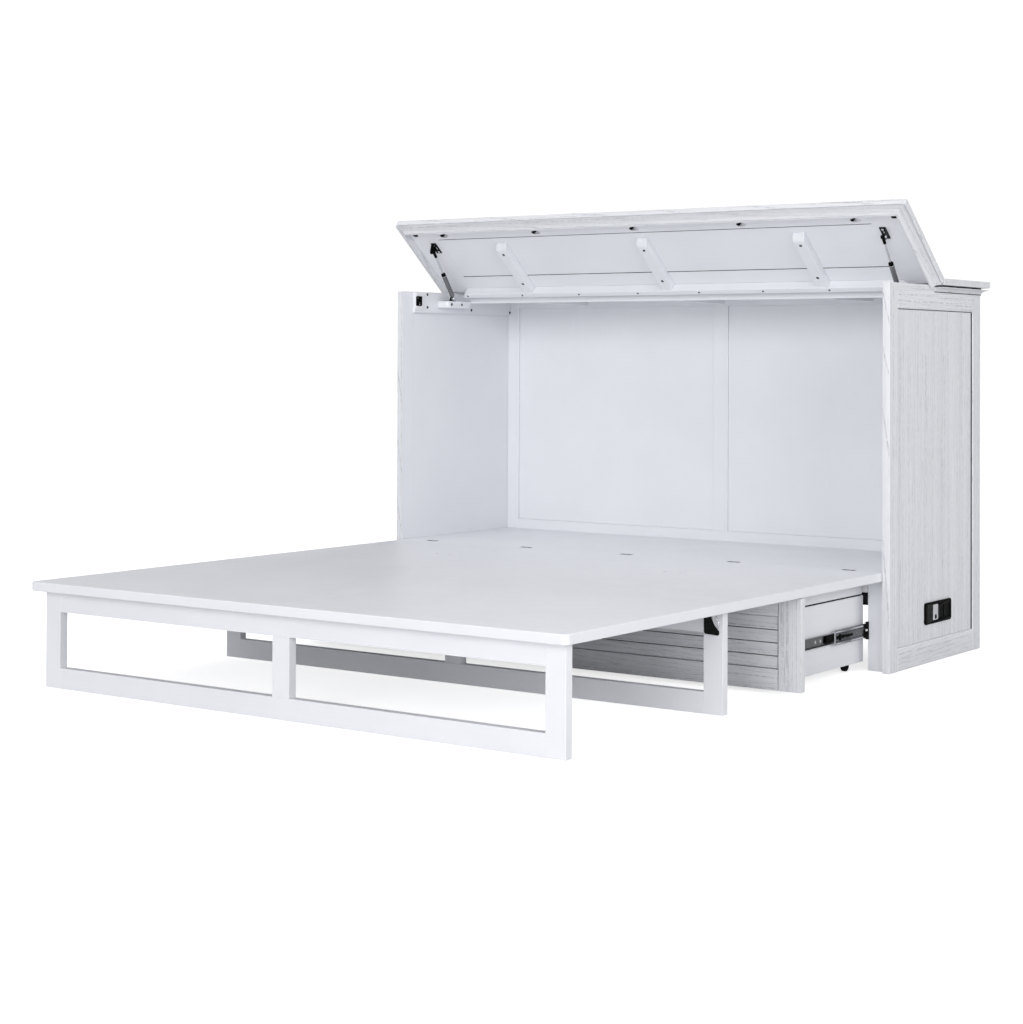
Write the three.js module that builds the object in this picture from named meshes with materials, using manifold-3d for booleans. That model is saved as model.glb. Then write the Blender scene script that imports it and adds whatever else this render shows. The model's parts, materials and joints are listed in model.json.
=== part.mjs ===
// A cabinet bed, standing open: the hinged lid is up, the folding platform is down on its two
// leg frames, and the drawer is pulled out under the platform.
//
// Lengths are millimetres. X runs along the cabinet, the bed opens towards -Y, and Z = 0 is
// the floor. Everything is drawn with Y = 0 at the front of the closed cabinet; the exported
// group then moves the whole bed so that its origin is under the middle of its footprint.

import * as THREE from 'three';
import { mergeVertices } from 'three/addons/utils/BufferGeometryUtils.js';
import Module from 'manifold-3d';

const wasm = await Module();
wasm.setup();

// ---- driving dimensions ----------------------------------------------------------------

const GAP = 0.3; // between boards that meet

// cabinet
const CABINET_HALF = 822;
const SIDE_THICKNESS = 20;
const INNER_HALF = CABINET_HALF - SIDE_THICKNESS;
const SIDE_FRONT = -6;
const CABINET_BACK = 603;
const SIDE_WINDOW_Y = [46, 550];
const SIDE_WINDOW_Z = [61, 959];
const PANEL_RECESS = 6;
const BACK_FACE = 557;
const BACK_THICKNESS = 20;
const BACK_STILE_INNER = 758;
const BACK_CENTRE_HALF = 25;
const BACK_FOOT = 10; // of its end stiles; between them it stops at the deck
const BACK_WINDOW_Z = [294, 985];

// top
const TOP_UNDERSIDE = 1027;
const TOP_THICKNESS = 18;
const TOP_Z = TOP_UNDERSIDE + TOP_THICKNESS;
const TOP_HALF = 852;
const CROWN_DROP = 21;
const CROWN_REACH = 26;
const RAIL_FRONT = 279; // the fixed top's front rail
const RAIL_DEPTH = 22;
const RAIL_HALF = 752;
const RAIL_FOOT = 995;
const RIB_X = [-500, 0, 500];
const RIB_WIDTH = 24;
const RIB_FOOT = 993;

// lid
const LID_HINGE_Y = 278;
const LID_FRONT = -41;
const LID_OPEN = THREE.MathUtils.degToRad(39.5);
const LID_CROWN_INNER_Y = -15;
const LID_CROWN_INNER_X = CABINET_HALF + 2;
const LID_RAIL_Y = [259.5, 277]; // a rail under the lid's hinged edge
const LID_RAIL_HALF = 754;
const LID_RAIL_FOOT = 1000;
const BATTEN_X = [['left', -500], ['middle', 0], ['right', 505]];
const BATTEN_WIDTH = 35;
const BATTEN_DEPTH = 22;
const BATTEN_Y = [55, LID_RAIL_Y[0] - GAP];

// platform: a deck in the cabinet, a middle panel hinged to it, and a foot panel
const PLATFORM_TOP = 263;
const PLATFORM_THICKNESS = 23;
const PLATFORM_UNDER = PLATFORM_TOP - PLATFORM_THICKNESS;
const PLATFORM_HALF = 800;
const PLATFORM_HINGE_Y = 14;
const MIDDLE_LENGTH = 757;
const FOOT_LENGTH = 753;
const FOLD_Y = PLATFORM_HINGE_Y - MIDDLE_LENGTH;
const PLATFORM_FRONT = FOLD_Y - FOOT_LENGTH;
const END_RAIL = 50;
const MIDDLE_FRONT_RAIL = 143;
const FOOT_REAR_RAIL = 47;
const CORNER_RADIUS = 15;

// leg frames
const LEG_HALF = 777;
const LEG_STOCK = 51;
const LEG_TOP = PLATFORM_UNDER - GAP;
const FRONT_LEGS_Y = [-1462, -1438];
const MIDDLE_LEGS_Y = [-810, -787];
const LEG_BRACKET_THICKNESS = 2.5;
const LEG_BRACKET_X = [728, 768];
const LEG_BRACKET_Z = [180, 233];
const LEG_BRACKET_LOBE = 13; // the round of its inner lower end
const LEG_BRACKET_TOE = 6; // and of its outer one

// drawer
const DRAWER_FRONT_Y = [-460, -438];
const DRAWER_FRONT_HALF = 798;
const DRAWER_FRONT_Z = [8, 238];
const DRAWER_WINDOW_HALF = 734;
const DRAWER_WINDOW_Z = [60, 190];
const PLANK_SEAMS_Z = [92, 124, 156];
const PLANK_RECESS = 5;
const DRAWER_BOX_HALF = 732;
const DRAWER_WALL = 17;
const DRAWER_BOX_Z = [23, 236];
const DRAWER_BACK_Y = 26;
const DRAWER_FLOOR_Z = [35, 47];
const DRAWER_STRIP_Z = 198;

// drawer runners and the timber that carries them
const BEARER_X = [746, 790];
const POST_Y = [25, 69];
const RUNNER_Z = [66, 142];
const RUNNER_THICKNESS = 22;
const SLIDE_Z = 104.5;
const SLIDE_STEEL = 1.6;
const SLIDE_OUTER = { web: 745.7, lip: 735, along: [27, 500], height: 45 };
const SLIDE_MIDDLE = { web: 743.4, lip: 735, along: [-165, 270], height: 38 };
const SLIDE_INNER = { web: 732.3, lip: 740, along: [-430, 20], height: 27 };

// casters
const CASTER_X = 703;
const CASTER_Y = -25;
const WHEEL_RADIUS = 14;
const WHEEL_WIDTH = 13;
const WHEEL_BEVEL = 1.5;
const FORK_PLATE = { half: 11, reach: 20, thickness: 3 };
const FORK_CHEEK = { gap: 1, thickness: 1.8, radius: 6, reach: 12 };

// gas struts
const STRUT_X = 757;
const STRUT_BASE = new THREE.Vector2(196, 1008);
const STRUT_LID_END = new THREE.Vector2(66, 1008); // with the lid shut
const STRUT_BARREL_RADIUS = 7;
const STRUT_BARREL = [8, 96]; // from the lower pivot
const STRUT_ROD_RADIUS = 3;
const STRUT_ROD_LENGTH = 108;
const STRUT_SOCKET_RADIUS = 4.5;
const STRUT_SOCKET_LENGTH = 22;
const STRUT_EYE_RADIUS = 6;
const STRUT_EYE_HALF = 5;
const STRUT_BLOCK_Y = [160, 276];
const STRUT_BLOCK_Z = [979, LID_RAIL_FOOT - GAP]; // just clear of the lid's rail when shut
const STRUT_BLOCK_INNER = 750;
const STRUT_BLOCK_NOSE = 12;

// cleats
const CLEAT_X = 792;
const CLEAT_FRONT = 42.5;
const CLEAT_Z = [962, 1025];

// the brackets under the lid that carry the struts' upper ends
const LID_BRACKET_X = [747, 766];
const LID_BRACKET_Y = [47, 91];
const LID_BRACKET_STEEL = 2.5;
const LID_TAB_RADIUS = 8;

// power outlet
const OUTLET_Y = [226, 401];
const OUTLET_Z = [104, 163];
const OUTLET_CORNER = 8;
const OUTLET_RECESS = 1; // behind the faces of the side frame

// ---- finishes --------------------------------------------------------------------------

const FINISHES = {
  painted: { color: 0xe9eaf0, roughness: 0.38, metalness: 0 },
  limed: { color: 0xd9dbe1, roughness: 0.6, metalness: 0 },
  black_steel: { color: 0x17181b, roughness: 0.45, metalness: 0.6 },
  zinc: { color: 0x9a9da3, roughness: 0.32, metalness: 0.9 },
  strut_steel: { color: 0x5d6068, roughness: 0.35, metalness: 0.7 },
  black_plastic: { color: 0x121316, roughness: 0.4, metalness: 0 },
  rubber: { color: 0x141416, roughness: 0.8, metalness: 0 },
};

// ---- shape helpers ---------------------------------------------------------------------

const SIDES = [['left', -1], ['right', 1]];

// the span from near to far on one side of the middle plane, low end first
function across(sign, near, far) {
  return sign > 0 ? [near, far] : [-far, -near];
}

function box([x0, x1], [y0, y1], [z0, z1]) {
  const geometry = new THREE.BoxGeometry(x1 - x0, y1 - y0, z1 - z0);
  return geometry.translate((x0 + x1) / 2, (y0 + y1) / 2, (z0 + z1) / 2);
}

// prisms: outline points are [y, z], [x, z] or [x, y]
function extrude(points, length) {
  const shape = new THREE.Shape(points.map(([u, v]) => new THREE.Vector2(u, v)));
  return new THREE.ExtrudeGeometry(shape, { depth: length, bevelEnabled: false });
}

function prismAlongX(points, [x0, x1]) {
  const toYZ = new THREE.Matrix4().set(0, 0, 1, x0, 1, 0, 0, 0, 0, 1, 0, 0, 0, 0, 0, 1);
  return extrude(points, x1 - x0).applyMatrix4(toYZ);
}

function prismAlongY(points, [y0, y1]) {
  const toXZ = new THREE.Matrix4().set(1, 0, 0, 0, 0, 0, -1, y1, 0, 1, 0, 0, 0, 0, 0, 1);
  return extrude(points, y1 - y0).applyMatrix4(toXZ);
}

function prismAlongZ(points, [z0, z1]) {
  return extrude(points, z1 - z0).translate(0, 0, z0);
}

function arc([u, v], radius, from, to, steps) {
  const points = [];
  for (let i = 0; i <= steps; i += 1) {
    const angle = from + ((to - from) * i) / steps;
    points.push([u + radius * Math.cos(angle), v + radius * Math.sin(angle)]);
  }
  return points;
}

// a rectangle with rounded corners
function roundedOutline([u0, u1], [v0, v1], radius, steps = 4) {
  const quarter = Math.PI / 2;
  return [
    ...arc([u1 - radius, v0 + radius], radius, -quarter, 0, steps),
    ...arc([u1 - radius, v1 - radius], radius, 0, quarter, steps),
    ...arc([u0 + radius, v1 - radius], radius, quarter, 2 * quarter, steps),
    ...arc([u0 + radius, v0 + radius], radius, 2 * quarter, 3 * quarter, steps),
  ];
}

// a solid of revolution about an axis along X through (y, z)
function turnedAlongX(profile, x, y, z, sides = 24) {
  const points = profile.map(([radius, along]) => new THREE.Vector2(radius, along));
  const geometry = new THREE.LatheGeometry(points, sides);
  return geometry.rotateZ(-Math.PI / 2).translate(x, y, z);
}

// ---- joining and cutting ---------------------------------------------------------------

function toManifold(geometry) {
  const bare = geometry.clone();
  bare.deleteAttribute('normal');
  bare.deleteAttribute('uv');
  const merged = mergeVertices(bare, 1e-4);
  const mesh = new wasm.Mesh({
    numProp: 3,
    vertProperties: new Float32Array(merged.attributes.position.array),
    triVerts: new Uint32Array(merged.index.array),
  });
  return new wasm.Manifold(mesh);
}

function toGeometry(manifold) {
  const { vertProperties, triVerts } = manifold.getMesh();
  const geometry = new THREE.BufferGeometry();
  geometry.setAttribute('position', new THREE.BufferAttribute(vertProperties, 3));
  geometry.setIndex(new THREE.BufferAttribute(triVerts, 1));
  geometry.computeVertexNormals();
  return geometry;
}

function join(first, ...others) {
  const whole = others.reduce((sum, next) => sum.add(toManifold(next)), toManifold(first));
  return toGeometry(whole);
}

function cut(first, ...others) {
  const rest = others.reduce((left, next) => left.subtract(toManifold(next)), toManifold(first));
  return toGeometry(rest);
}

function common(first, second) {
  return toGeometry(toManifold(first).intersect(toManifold(second)));
}

// ---- scene helpers ---------------------------------------------------------------------

function add(parent, name, geometry, finish) {
  const mesh = new THREE.Mesh(geometry, new THREE.MeshStandardMaterial(FINISHES[finish]));
  mesh.name = name;
  parent.add(mesh);
}

// a group that turns about X through (y, z), holding parts drawn in the cabinet's frame
function turnedGroup(parent, y, z, angle) {
  const pivot = new THREE.Group();
  pivot.position.set(0, y, z);
  pivot.rotation.x = angle;
  const contents = new THREE.Group();
  contents.position.set(0, -y, -z);
  pivot.add(contents);
  parent.add(pivot);
  return contents;
}

// ---- cabinet ---------------------------------------------------------------------------

function cabinetSides(cabinet) {
  for (const [name, sign] of SIDES) {
    const thickness = across(sign, INNER_HALF, CABINET_HALF);
    const blank = box(thickness, [SIDE_FRONT, CABINET_BACK], [0, TOP_UNDERSIDE - GAP]);
    const through = across(sign, INNER_HALF - 1, CABINET_HALF + 1);
    const window = box(through, SIDE_WINDOW_Y, SIDE_WINDOW_Z);
    add(cabinet, `${name}_side_frame`, cut(blank, window), 'limed');

    const panel = box(
      across(sign, INNER_HALF, CABINET_HALF - PANEL_RECESS),
      [SIDE_WINDOW_Y[0] + GAP, SIDE_WINDOW_Y[1] - GAP],
      [SIDE_WINDOW_Z[0] + GAP, SIDE_WINDOW_Z[1] - GAP],
    );
    add(cabinet, `${name}_side_panel`, panel, 'limed');
  }
}

function cabinetBack(cabinet) {
  const depth = [BACK_FACE, BACK_FACE + BACK_THICKNESS];
  const half = INNER_HALF - GAP;
  const blank = box([-half, half], depth, [BACK_FOOT, TOP_UNDERSIDE - GAP]);
  const through = [BACK_FACE - 1, BACK_FACE + BACK_THICKNESS + 1];
  const bay = box([-BACK_STILE_INNER, BACK_STILE_INNER], through, [BACK_FOOT - 1, PLATFORM_UNDER]);
  const windows = SIDES.map(([, sign]) =>
    box(across(sign, BACK_CENTRE_HALF, BACK_STILE_INNER), through, BACK_WINDOW_Z));
  add(cabinet, 'back_frame', cut(blank, bay, ...windows), 'painted');

  for (const [name, sign] of SIDES) {
    const panel = box(
      across(sign, BACK_CENTRE_HALF + GAP, BACK_STILE_INNER - GAP),
      [BACK_FACE + PANEL_RECESS, BACK_FACE + BACK_THICKNESS - PANEL_RECESS],
      [BACK_WINDOW_Z[0] + GAP, BACK_WINDOW_Z[1] - GAP],
    );
    add(cabinet, `${name}_back_panel`, panel, 'painted');
  }
}

// the crown moulding's outer edge, as [out, up] from the foot of its inner face
function crownEdge() {
  const lip = 2.5; // the fillets under and over the cove
  const top = CROWN_DROP - GAP;
  const reach = CROWN_REACH - 2 * lip;
  const rise = CROWN_DROP - 3 * lip;
  const steps = 6;
  const cove = [];
  for (let i = 0; i <= steps; i += 1) {
    const angle = (i / steps) * (Math.PI / 2);
    cove.push([lip + reach * (1 - Math.cos(angle)), lip + rise * Math.sin(angle)]);
  }
  return [[lip, 0], ...cove, [CROWN_REACH, lip + rise], [CROWN_REACH, top]];
}

function cabinetTop(cabinet) {
  const depth = [LID_HINGE_Y + GAP, CABINET_BACK];
  const board = box([-TOP_HALF, TOP_HALF], depth, [TOP_UNDERSIDE, TOP_Z]);
  add(cabinet, 'top_board', board, 'limed');

  const foot = TOP_UNDERSIDE - CROWN_DROP;
  for (const [name, sign] of SIDES) {
    const inner = CABINET_HALF + GAP;
    const outline = [[0, 0], ...crownEdge(), [0, CROWN_DROP - GAP]];
    const points = outline.map(([out, up]) => [sign * (inner + out), foot + up]);
    add(cabinet, `${name}_top_moulding`, prismAlongY(points, depth), 'limed');
  }
}

// a rail under the front edge of the fixed top, with three ribs running back from it
function topRail(cabinet) {
  const top = TOP_UNDERSIDE - GAP;
  const rear = RAIL_FRONT + RAIL_DEPTH;
  const rail = box([-RAIL_HALF, RAIL_HALF], [RAIL_FRONT, rear], [RAIL_FOOT, top]);
  const ribs = RIB_X.map((x) => {
    const width = [x - RIB_WIDTH / 2, x + RIB_WIDTH / 2];
    return box(width, [rear - 1, BACK_FACE - GAP], [RIB_FOOT, top]);
  });
  add(cabinet, 'top_rail_frame', join(rail, ...ribs), 'painted');
}

// a cleat along the top of each side, and on it the block that carries a gas strut
function cleats(cabinet) {
  const [front, rear] = STRUT_BLOCK_Y;
  const outer = CLEAT_X - GAP;
  const nose = STRUT_BLOCK_INNER + STRUT_BLOCK_NOSE;
  for (const [name, sign] of SIDES) {
    const width = across(sign, CLEAT_X, INNER_HALF - GAP);
    add(cabinet, `${name}_cleat`, box(width, [CLEAT_FRONT, BACK_FACE - GAP], CLEAT_Z), 'painted');

    const outline = [
      ...arc([nose, front + STRUT_BLOCK_NOSE], STRUT_BLOCK_NOSE, Math.PI, 1.5 * Math.PI, 6),
      [outer, front],
      [outer, rear],
      [STRUT_BLOCK_INNER, rear],
    ];
    const block = prismAlongZ(outline.map(([x, y]) => [sign * x, y]), STRUT_BLOCK_Z);
    add(cabinet, `${name}_strut_block`, block, 'painted');
  }
}

// the deck, and on each side a post with a runner board behind it
function lowerCarcass(cabinet) {
  const half = INNER_HALF - GAP;
  const depth = [PLATFORM_HINGE_Y + 0.5, BACK_FACE - GAP];
  add(cabinet, 'deck', box([-half, half], depth, [PLATFORM_UNDER, PLATFORM_TOP]), 'painted');

  for (const [name, sign] of SIDES) {
    const post = box(across(sign, ...BEARER_X), POST_Y, [0, PLATFORM_UNDER - GAP]);
    const width = across(sign, BEARER_X[0], BEARER_X[0] + RUNNER_THICKNESS);
    const runner = box(width, [POST_Y[1] - 1, BACK_FACE - GAP], RUNNER_Z);
    add(cabinet, `${name}_bearer`, join(post, runner), 'painted');
  }
}

function outlet(cabinet) {
  const plate = prismAlongX(roundedOutline(OUTLET_Y, OUTLET_Z, OUTLET_CORNER), [
    CABINET_HALF - PANEL_RECESS + GAP,
    CABINET_HALF - OUTLET_RECESS,
  ]);
  add(cabinet, 'outlet_plate', plate, 'black_plastic');
}

// ---- drawer slides ---------------------------------------------------------------------

// a steel channel along Y: a web at the outer face and two lips that point at the other face
function channel(sign, { web: webX, lip: lipX, along, height }) {
  const low = SLIDE_Z - height / 2;
  const high = SLIDE_Z + height / 2;
  const wall = webX < lipX ? SLIDE_STEEL : -SLIDE_STEEL;
  const points = [
    [webX, low],
    [lipX, low],
    [lipX, low + SLIDE_STEEL],
    [webX + wall, low + SLIDE_STEEL],
    [webX + wall, high - SLIDE_STEEL],
    [lipX, high - SLIDE_STEEL],
    [lipX, high],
    [webX, high],
  ];
  return prismAlongY(points.map(([x, z]) => [sign * x, z]), along);
}

function drawerSlides(cabinet, drawer) {
  for (const [name, sign] of SIDES) {
    add(cabinet, `${name}_slide_outer`, channel(sign, SLIDE_OUTER), 'zinc');
    add(cabinet, `${name}_slide_middle`, channel(sign, SLIDE_MIDDLE), 'zinc');
    add(drawer, `${name}_slide_inner`, channel(sign, SLIDE_INNER), 'zinc');
  }
}

// ---- drawer ----------------------------------------------------------------------------

function drawerFront(drawer) {
  const half = DRAWER_FRONT_HALF;
  const blank = box([-half, half], DRAWER_FRONT_Y, DRAWER_FRONT_Z);
  const through = [DRAWER_FRONT_Y[0] - 1, DRAWER_FRONT_Y[1] + 1];
  const window = box([-DRAWER_WINDOW_HALF, DRAWER_WINDOW_HALF], through, DRAWER_WINDOW_Z);
  add(drawer, 'drawer_front_frame', cut(blank, window), 'limed');

  // level planks, with a V groove at each seam
  const face = DRAWER_FRONT_Y[0] + PLANK_RECESS;
  const back = DRAWER_FRONT_Y[1] - PLANK_RECESS;
  const low = DRAWER_WINDOW_Z[0] + GAP;
  const high = DRAWER_WINDOW_Z[1] - GAP;
  const grooves = PLANK_SEAMS_Z.flatMap((z) => [[face, z - 2.5], [face + 2.5, z], [face, z + 2.5]]);
  const outline = [[back, high], [back, low], [face, low], ...grooves, [face, high]];
  const halfWidth = DRAWER_WINDOW_HALF - GAP;
  add(drawer, 'drawer_front_planks', prismAlongX(outline, [-halfWidth, halfWidth]), 'limed');
}

function drawerBox(drawer) {
  const [low, high] = DRAWER_BOX_Z;
  const front = DRAWER_FRONT_Y[1] + GAP;
  const inside = DRAWER_BOX_HALF - DRAWER_WALL;
  for (const [name, sign] of SIDES) {
    const side = box(across(sign, inside, DRAWER_BOX_HALF), [front, DRAWER_BACK_Y], [low, high]);
    const groove = box(
      across(sign, DRAWER_BOX_HALF - 5, DRAWER_BOX_HALF + 1),
      [front - 1, DRAWER_BACK_Y + 1],
      [DRAWER_STRIP_Z, DRAWER_STRIP_Z + 1.5],
    );
    add(drawer, `drawer_${name}_side`, cut(side, groove), 'painted');
  }
  const half = inside - GAP;
  const backBoard = [DRAWER_BACK_Y - DRAWER_WALL, DRAWER_BACK_Y];
  add(drawer, 'drawer_back', box([-half, half], backBoard, [low, high]), 'painted');
  const floor = box([-half, half], [front, backBoard[0] - GAP], DRAWER_FLOOR_Z);
  add(drawer, 'drawer_bottom', floor, 'painted');
}

function casters(drawer) {
  for (const [name, sign] of SIDES) {
    const centre = sign * CASTER_X;
    const halfWheel = WHEEL_WIDTH / 2;
    const cheekX = halfWheel + FORK_CHEEK.gap;
    const plateTop = DRAWER_FLOOR_Z[0] - GAP;
    const plate = box(
      [centre - FORK_PLATE.half, centre + FORK_PLATE.half],
      [CASTER_Y - FORK_PLATE.reach, CASTER_Y + FORK_PLATE.reach],
      [plateTop - FORK_PLATE.thickness, plateTop],
    );
    const cheeks = [-1, 1].map((face) => {
      const near = centre + face * cheekX;
      const far = near + face * FORK_CHEEK.thickness;
      const outline = [
        ...arc([CASTER_Y, WHEEL_RADIUS], FORK_CHEEK.radius, Math.PI, 2 * Math.PI, 6),
        [CASTER_Y + FORK_CHEEK.reach, plateTop - 2],
        [CASTER_Y - FORK_CHEEK.reach, plateTop - 2],
      ];
      return prismAlongX(outline, [Math.min(near, far), Math.max(near, far)]);
    });
    add(drawer, `${name}_caster_fork`, join(plate, ...cheeks), 'black_steel');

    const wheel = turnedAlongX(
      [
        [0, -halfWheel],
        [WHEEL_RADIUS - WHEEL_BEVEL, -halfWheel],
        [WHEEL_RADIUS, -halfWheel + WHEEL_BEVEL],
        [WHEEL_RADIUS, halfWheel - WHEEL_BEVEL],
        [WHEEL_RADIUS - WHEEL_BEVEL, halfWheel],
        [0, halfWheel],
      ],
      centre,
      CASTER_Y,
      WHEEL_RADIUS,
    );
    add(drawer, `${name}_caster_wheel`, toGeometry(toManifold(wheel)), 'rubber');
  }
}

// ---- lid, drawn shut -------------------------------------------------------------------

function lidBoard(lid) {
  const edge = 2;
  const rear = LID_HINGE_Y - 0.5;
  const outline = [
    [LID_FRONT, TOP_UNDERSIDE + edge],
    [LID_FRONT + edge, TOP_UNDERSIDE],
    [rear, TOP_UNDERSIDE],
    [rear, TOP_Z],
    [LID_FRONT + edge, TOP_Z],
    [LID_FRONT, TOP_Z - edge],
  ];
  add(lid, 'lid_board', prismAlongX(outline, [-TOP_HALF, TOP_HALF]), 'limed');
}

// the crown runs round the front and both ends of the lid, mitred at the corners
function lidMoulding(lid) {
  const foot = TOP_UNDERSIDE - CROWN_DROP;
  const top = TOP_UNDERSIDE - GAP;
  const rear = LID_HINGE_Y - 1;
  const edge = crownEdge();
  const frontOutline = edge.map(([out, up]) => [LID_CROWN_INNER_Y - out, foot + up]);
  const alongX = prismAlongX([[rear, foot], ...frontOutline, [rear, top]], [-TOP_HALF, TOP_HALF]);
  const right = edge.map(([out, up]) => [LID_CROWN_INNER_X + out, foot + up]);
  const left = right.map(([x, z]) => [-x, z]).reverse();
  const alongY = prismAlongY([...right, ...left], [LID_FRONT, rear]);
  const hollow = box(
    [-LID_CROWN_INNER_X, LID_CROWN_INNER_X],
    [LID_CROWN_INNER_Y, rear + 1],
    [foot - 1, top + 1],
  );
  add(lid, 'lid_moulding', cut(common(alongX, alongY), hollow), 'limed');
}

// the rail under the hinged edge, and the battens that run forward from it
function lidRails(lid) {
  const top = TOP_UNDERSIDE - GAP;
  const chamfer = 10;
  const inner = LID_RAIL_HALF - chamfer;
  const [railFront, railRear] = LID_RAIL_Y;
  const rail = prismAlongZ(
    [
      [-LID_RAIL_HALF, railRear],
      [-LID_RAIL_HALF, railFront + chamfer],
      [-inner, railFront],
      [inner, railFront],
      [LID_RAIL_HALF, railFront + chamfer],
      [LID_RAIL_HALF, railRear],
    ],
    [LID_RAIL_FOOT, top],
  );
  add(lid, 'lid_rear_rail', rail, 'painted');

  const low = top - BATTEN_DEPTH;
  const [front, rear] = BATTEN_Y;
  const radius = 16;
  const nose = arc([front + radius, low + radius], radius, Math.PI, 1.5 * Math.PI, 5);
  const outline = [[front, top], ...nose, [rear, low], [rear, top]];
  for (const [name, x] of BATTEN_X) {
    const batten = prismAlongX(outline, [x - BATTEN_WIDTH / 2, x + BATTEN_WIDTH / 2]);
    add(lid, `lid_${name}_batten`, batten, 'painted');
  }
}

// an angle bracket screwed under the lid, whose tab carries the strut's upper end
function strutBrackets(lid) {
  const top = TOP_UNDERSIDE - GAP;
  const [inner, outer] = LID_BRACKET_X;
  for (const [name, sign] of SIDES) {
    const plate = [top - LID_BRACKET_STEEL, top];
    const flange = box(across(sign, inner, outer), LID_BRACKET_Y, plate);
    const tab = prismAlongX(
      [
        ...arc([STRUT_LID_END.x, STRUT_LID_END.y], LID_TAB_RADIUS, Math.PI, 2 * Math.PI, 6),
        [STRUT_LID_END.x + 2 * LID_TAB_RADIUS, top - 1],
        [STRUT_LID_END.x - 2 * LID_TAB_RADIUS, top - 1],
      ],
      across(sign, outer - LID_BRACKET_STEEL, outer),
    );
    add(lid, `${name}_lid_bracket`, join(flange, tab), 'black_steel');
  }
}

// ---- gas struts ------------------------------------------------------------------------

// Where the lid turns to, the strut's upper end goes with it.
function strutEndWithLidOpen() {
  const hinge = new THREE.Vector2(LID_HINGE_Y, TOP_Z);
  return STRUT_LID_END.clone().rotateAround(hinge, -LID_OPEN);
}

function turnedAlongY(profile, sides) {
  const points = profile.map(([radius, along]) => new THREE.Vector2(radius, along));
  return new THREE.LatheGeometry(points, sides);
}

function strutEye(along) {
  const length = 2 * STRUT_EYE_HALF;
  const disc = new THREE.CylinderGeometry(STRUT_EYE_RADIUS, STRUT_EYE_RADIUS, length, 20);
  return disc.rotateZ(Math.PI / 2).translate(0, along, 0);
}

// Each strut is drawn along +Y from its lower pivot, then turned to point at the lid.
function struts(cabinet) {
  const end = strutEndWithLidOpen();
  const reach = end.distanceTo(STRUT_BASE);
  const angle = end.clone().sub(STRUT_BASE).angle();
  const [barrelStart, barrelEnd] = STRUT_BARREL;
  const neck = 4;
  const bore = STRUT_ROD_RADIUS + GAP;

  for (const [name, sign] of SIDES) {
    const pivot = new THREE.Group();
    pivot.position.set(sign * STRUT_X, STRUT_BASE.x, STRUT_BASE.y);
    pivot.rotation.x = angle;
    cabinet.add(pivot);

    const barrel = turnedAlongY([
      [0, 3],
      [neck, 3],
      [neck, barrelStart],
      [STRUT_BARREL_RADIUS, barrelStart + 1],
      [STRUT_BARREL_RADIUS, barrelEnd - 1],
      [STRUT_BARREL_RADIUS - 1, barrelEnd],
      [bore, barrelEnd],
      [bore, barrelStart + 4],
      [0, barrelStart + 4],
    ], 24);
    add(pivot, `${name}_strut_barrel`, join(barrel, strutEye(0)), 'strut_steel');

    const rod = turnedAlongY([
      [0, reach - STRUT_ROD_LENGTH],
      [STRUT_ROD_RADIUS, reach - STRUT_ROD_LENGTH],
      [STRUT_ROD_RADIUS, reach - STRUT_SOCKET_LENGTH],
      [STRUT_SOCKET_RADIUS, reach - STRUT_SOCKET_LENGTH],
      [STRUT_SOCKET_RADIUS, reach - 3],
      [0, reach - 3],
    ], 20);
    add(pivot, `${name}_strut_rod`, join(rod, strutEye(reach)), 'strut_steel');
  }
}

// ---- folding platform ------------------------------------------------------------------

function board(parent, name, x, y) {
  add(parent, name, box(x, y, [PLATFORM_UNDER, PLATFORM_TOP]), 'painted');
}

function middlePanel(platform) {
  const full = [-PLATFORM_HALF, PLATFORM_HALF];
  const rearRail = PLATFORM_HINGE_Y - END_RAIL;
  const frontRail = FOLD_Y + MIDDLE_FRONT_RAIL;
  board(platform, 'middle_rear_rail', full, [rearRail, PLATFORM_HINGE_Y - GAP]);
  board(platform, 'middle_board', full, [frontRail + GAP, rearRail - GAP]);
  board(platform, 'middle_front_rail', full, [FOLD_Y + GAP, frontRail]);
}

function footPanel(platform) {
  const full = [-PLATFORM_HALF, PLATFORM_HALF];
  const rearRail = FOLD_Y - FOOT_REAR_RAIL;
  const frontRail = PLATFORM_FRONT + END_RAIL;
  board(platform, 'foot_rear_rail', full, [rearRail, FOLD_Y - GAP]);
  for (const [name, sign] of SIDES) {
    const width = across(sign, GAP / 2, PLATFORM_HALF);
    board(platform, `foot_${name}_board`, width, [frontRail + GAP, rearRail - GAP]);
  }

  const cornerX = PLATFORM_HALF - CORNER_RADIUS;
  const cornerY = PLATFORM_FRONT + CORNER_RADIUS;
  const outline = [
    ...arc([-cornerX, cornerY], CORNER_RADIUS, Math.PI, 1.5 * Math.PI, 5),
    ...arc([cornerX, cornerY], CORNER_RADIUS, 1.5 * Math.PI, 2 * Math.PI, 5),
    [PLATFORM_HALF, frontRail],
    [-PLATFORM_HALF, frontRail],
  ];
  const rail = prismAlongZ(outline, [PLATFORM_UNDER, PLATFORM_TOP]);
  add(platform, 'foot_front_rail', rail, 'painted');
}

// a leg frame: two rails, two end stiles and a centre stile round two openings
function legFrame(platform, name, depth) {
  const blank = box([-LEG_HALF, LEG_HALF], depth, [0, LEG_TOP]);
  const through = [depth[0] - 1, depth[1] + 1];
  const windows = SIDES.map(([, sign]) => {
    const width = across(sign, LEG_STOCK / 2, LEG_HALF - LEG_STOCK);
    return box(width, through, [LEG_STOCK, LEG_TOP - LEG_STOCK]);
  });
  add(platform, name, cut(blank, ...windows), 'painted');
}

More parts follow.
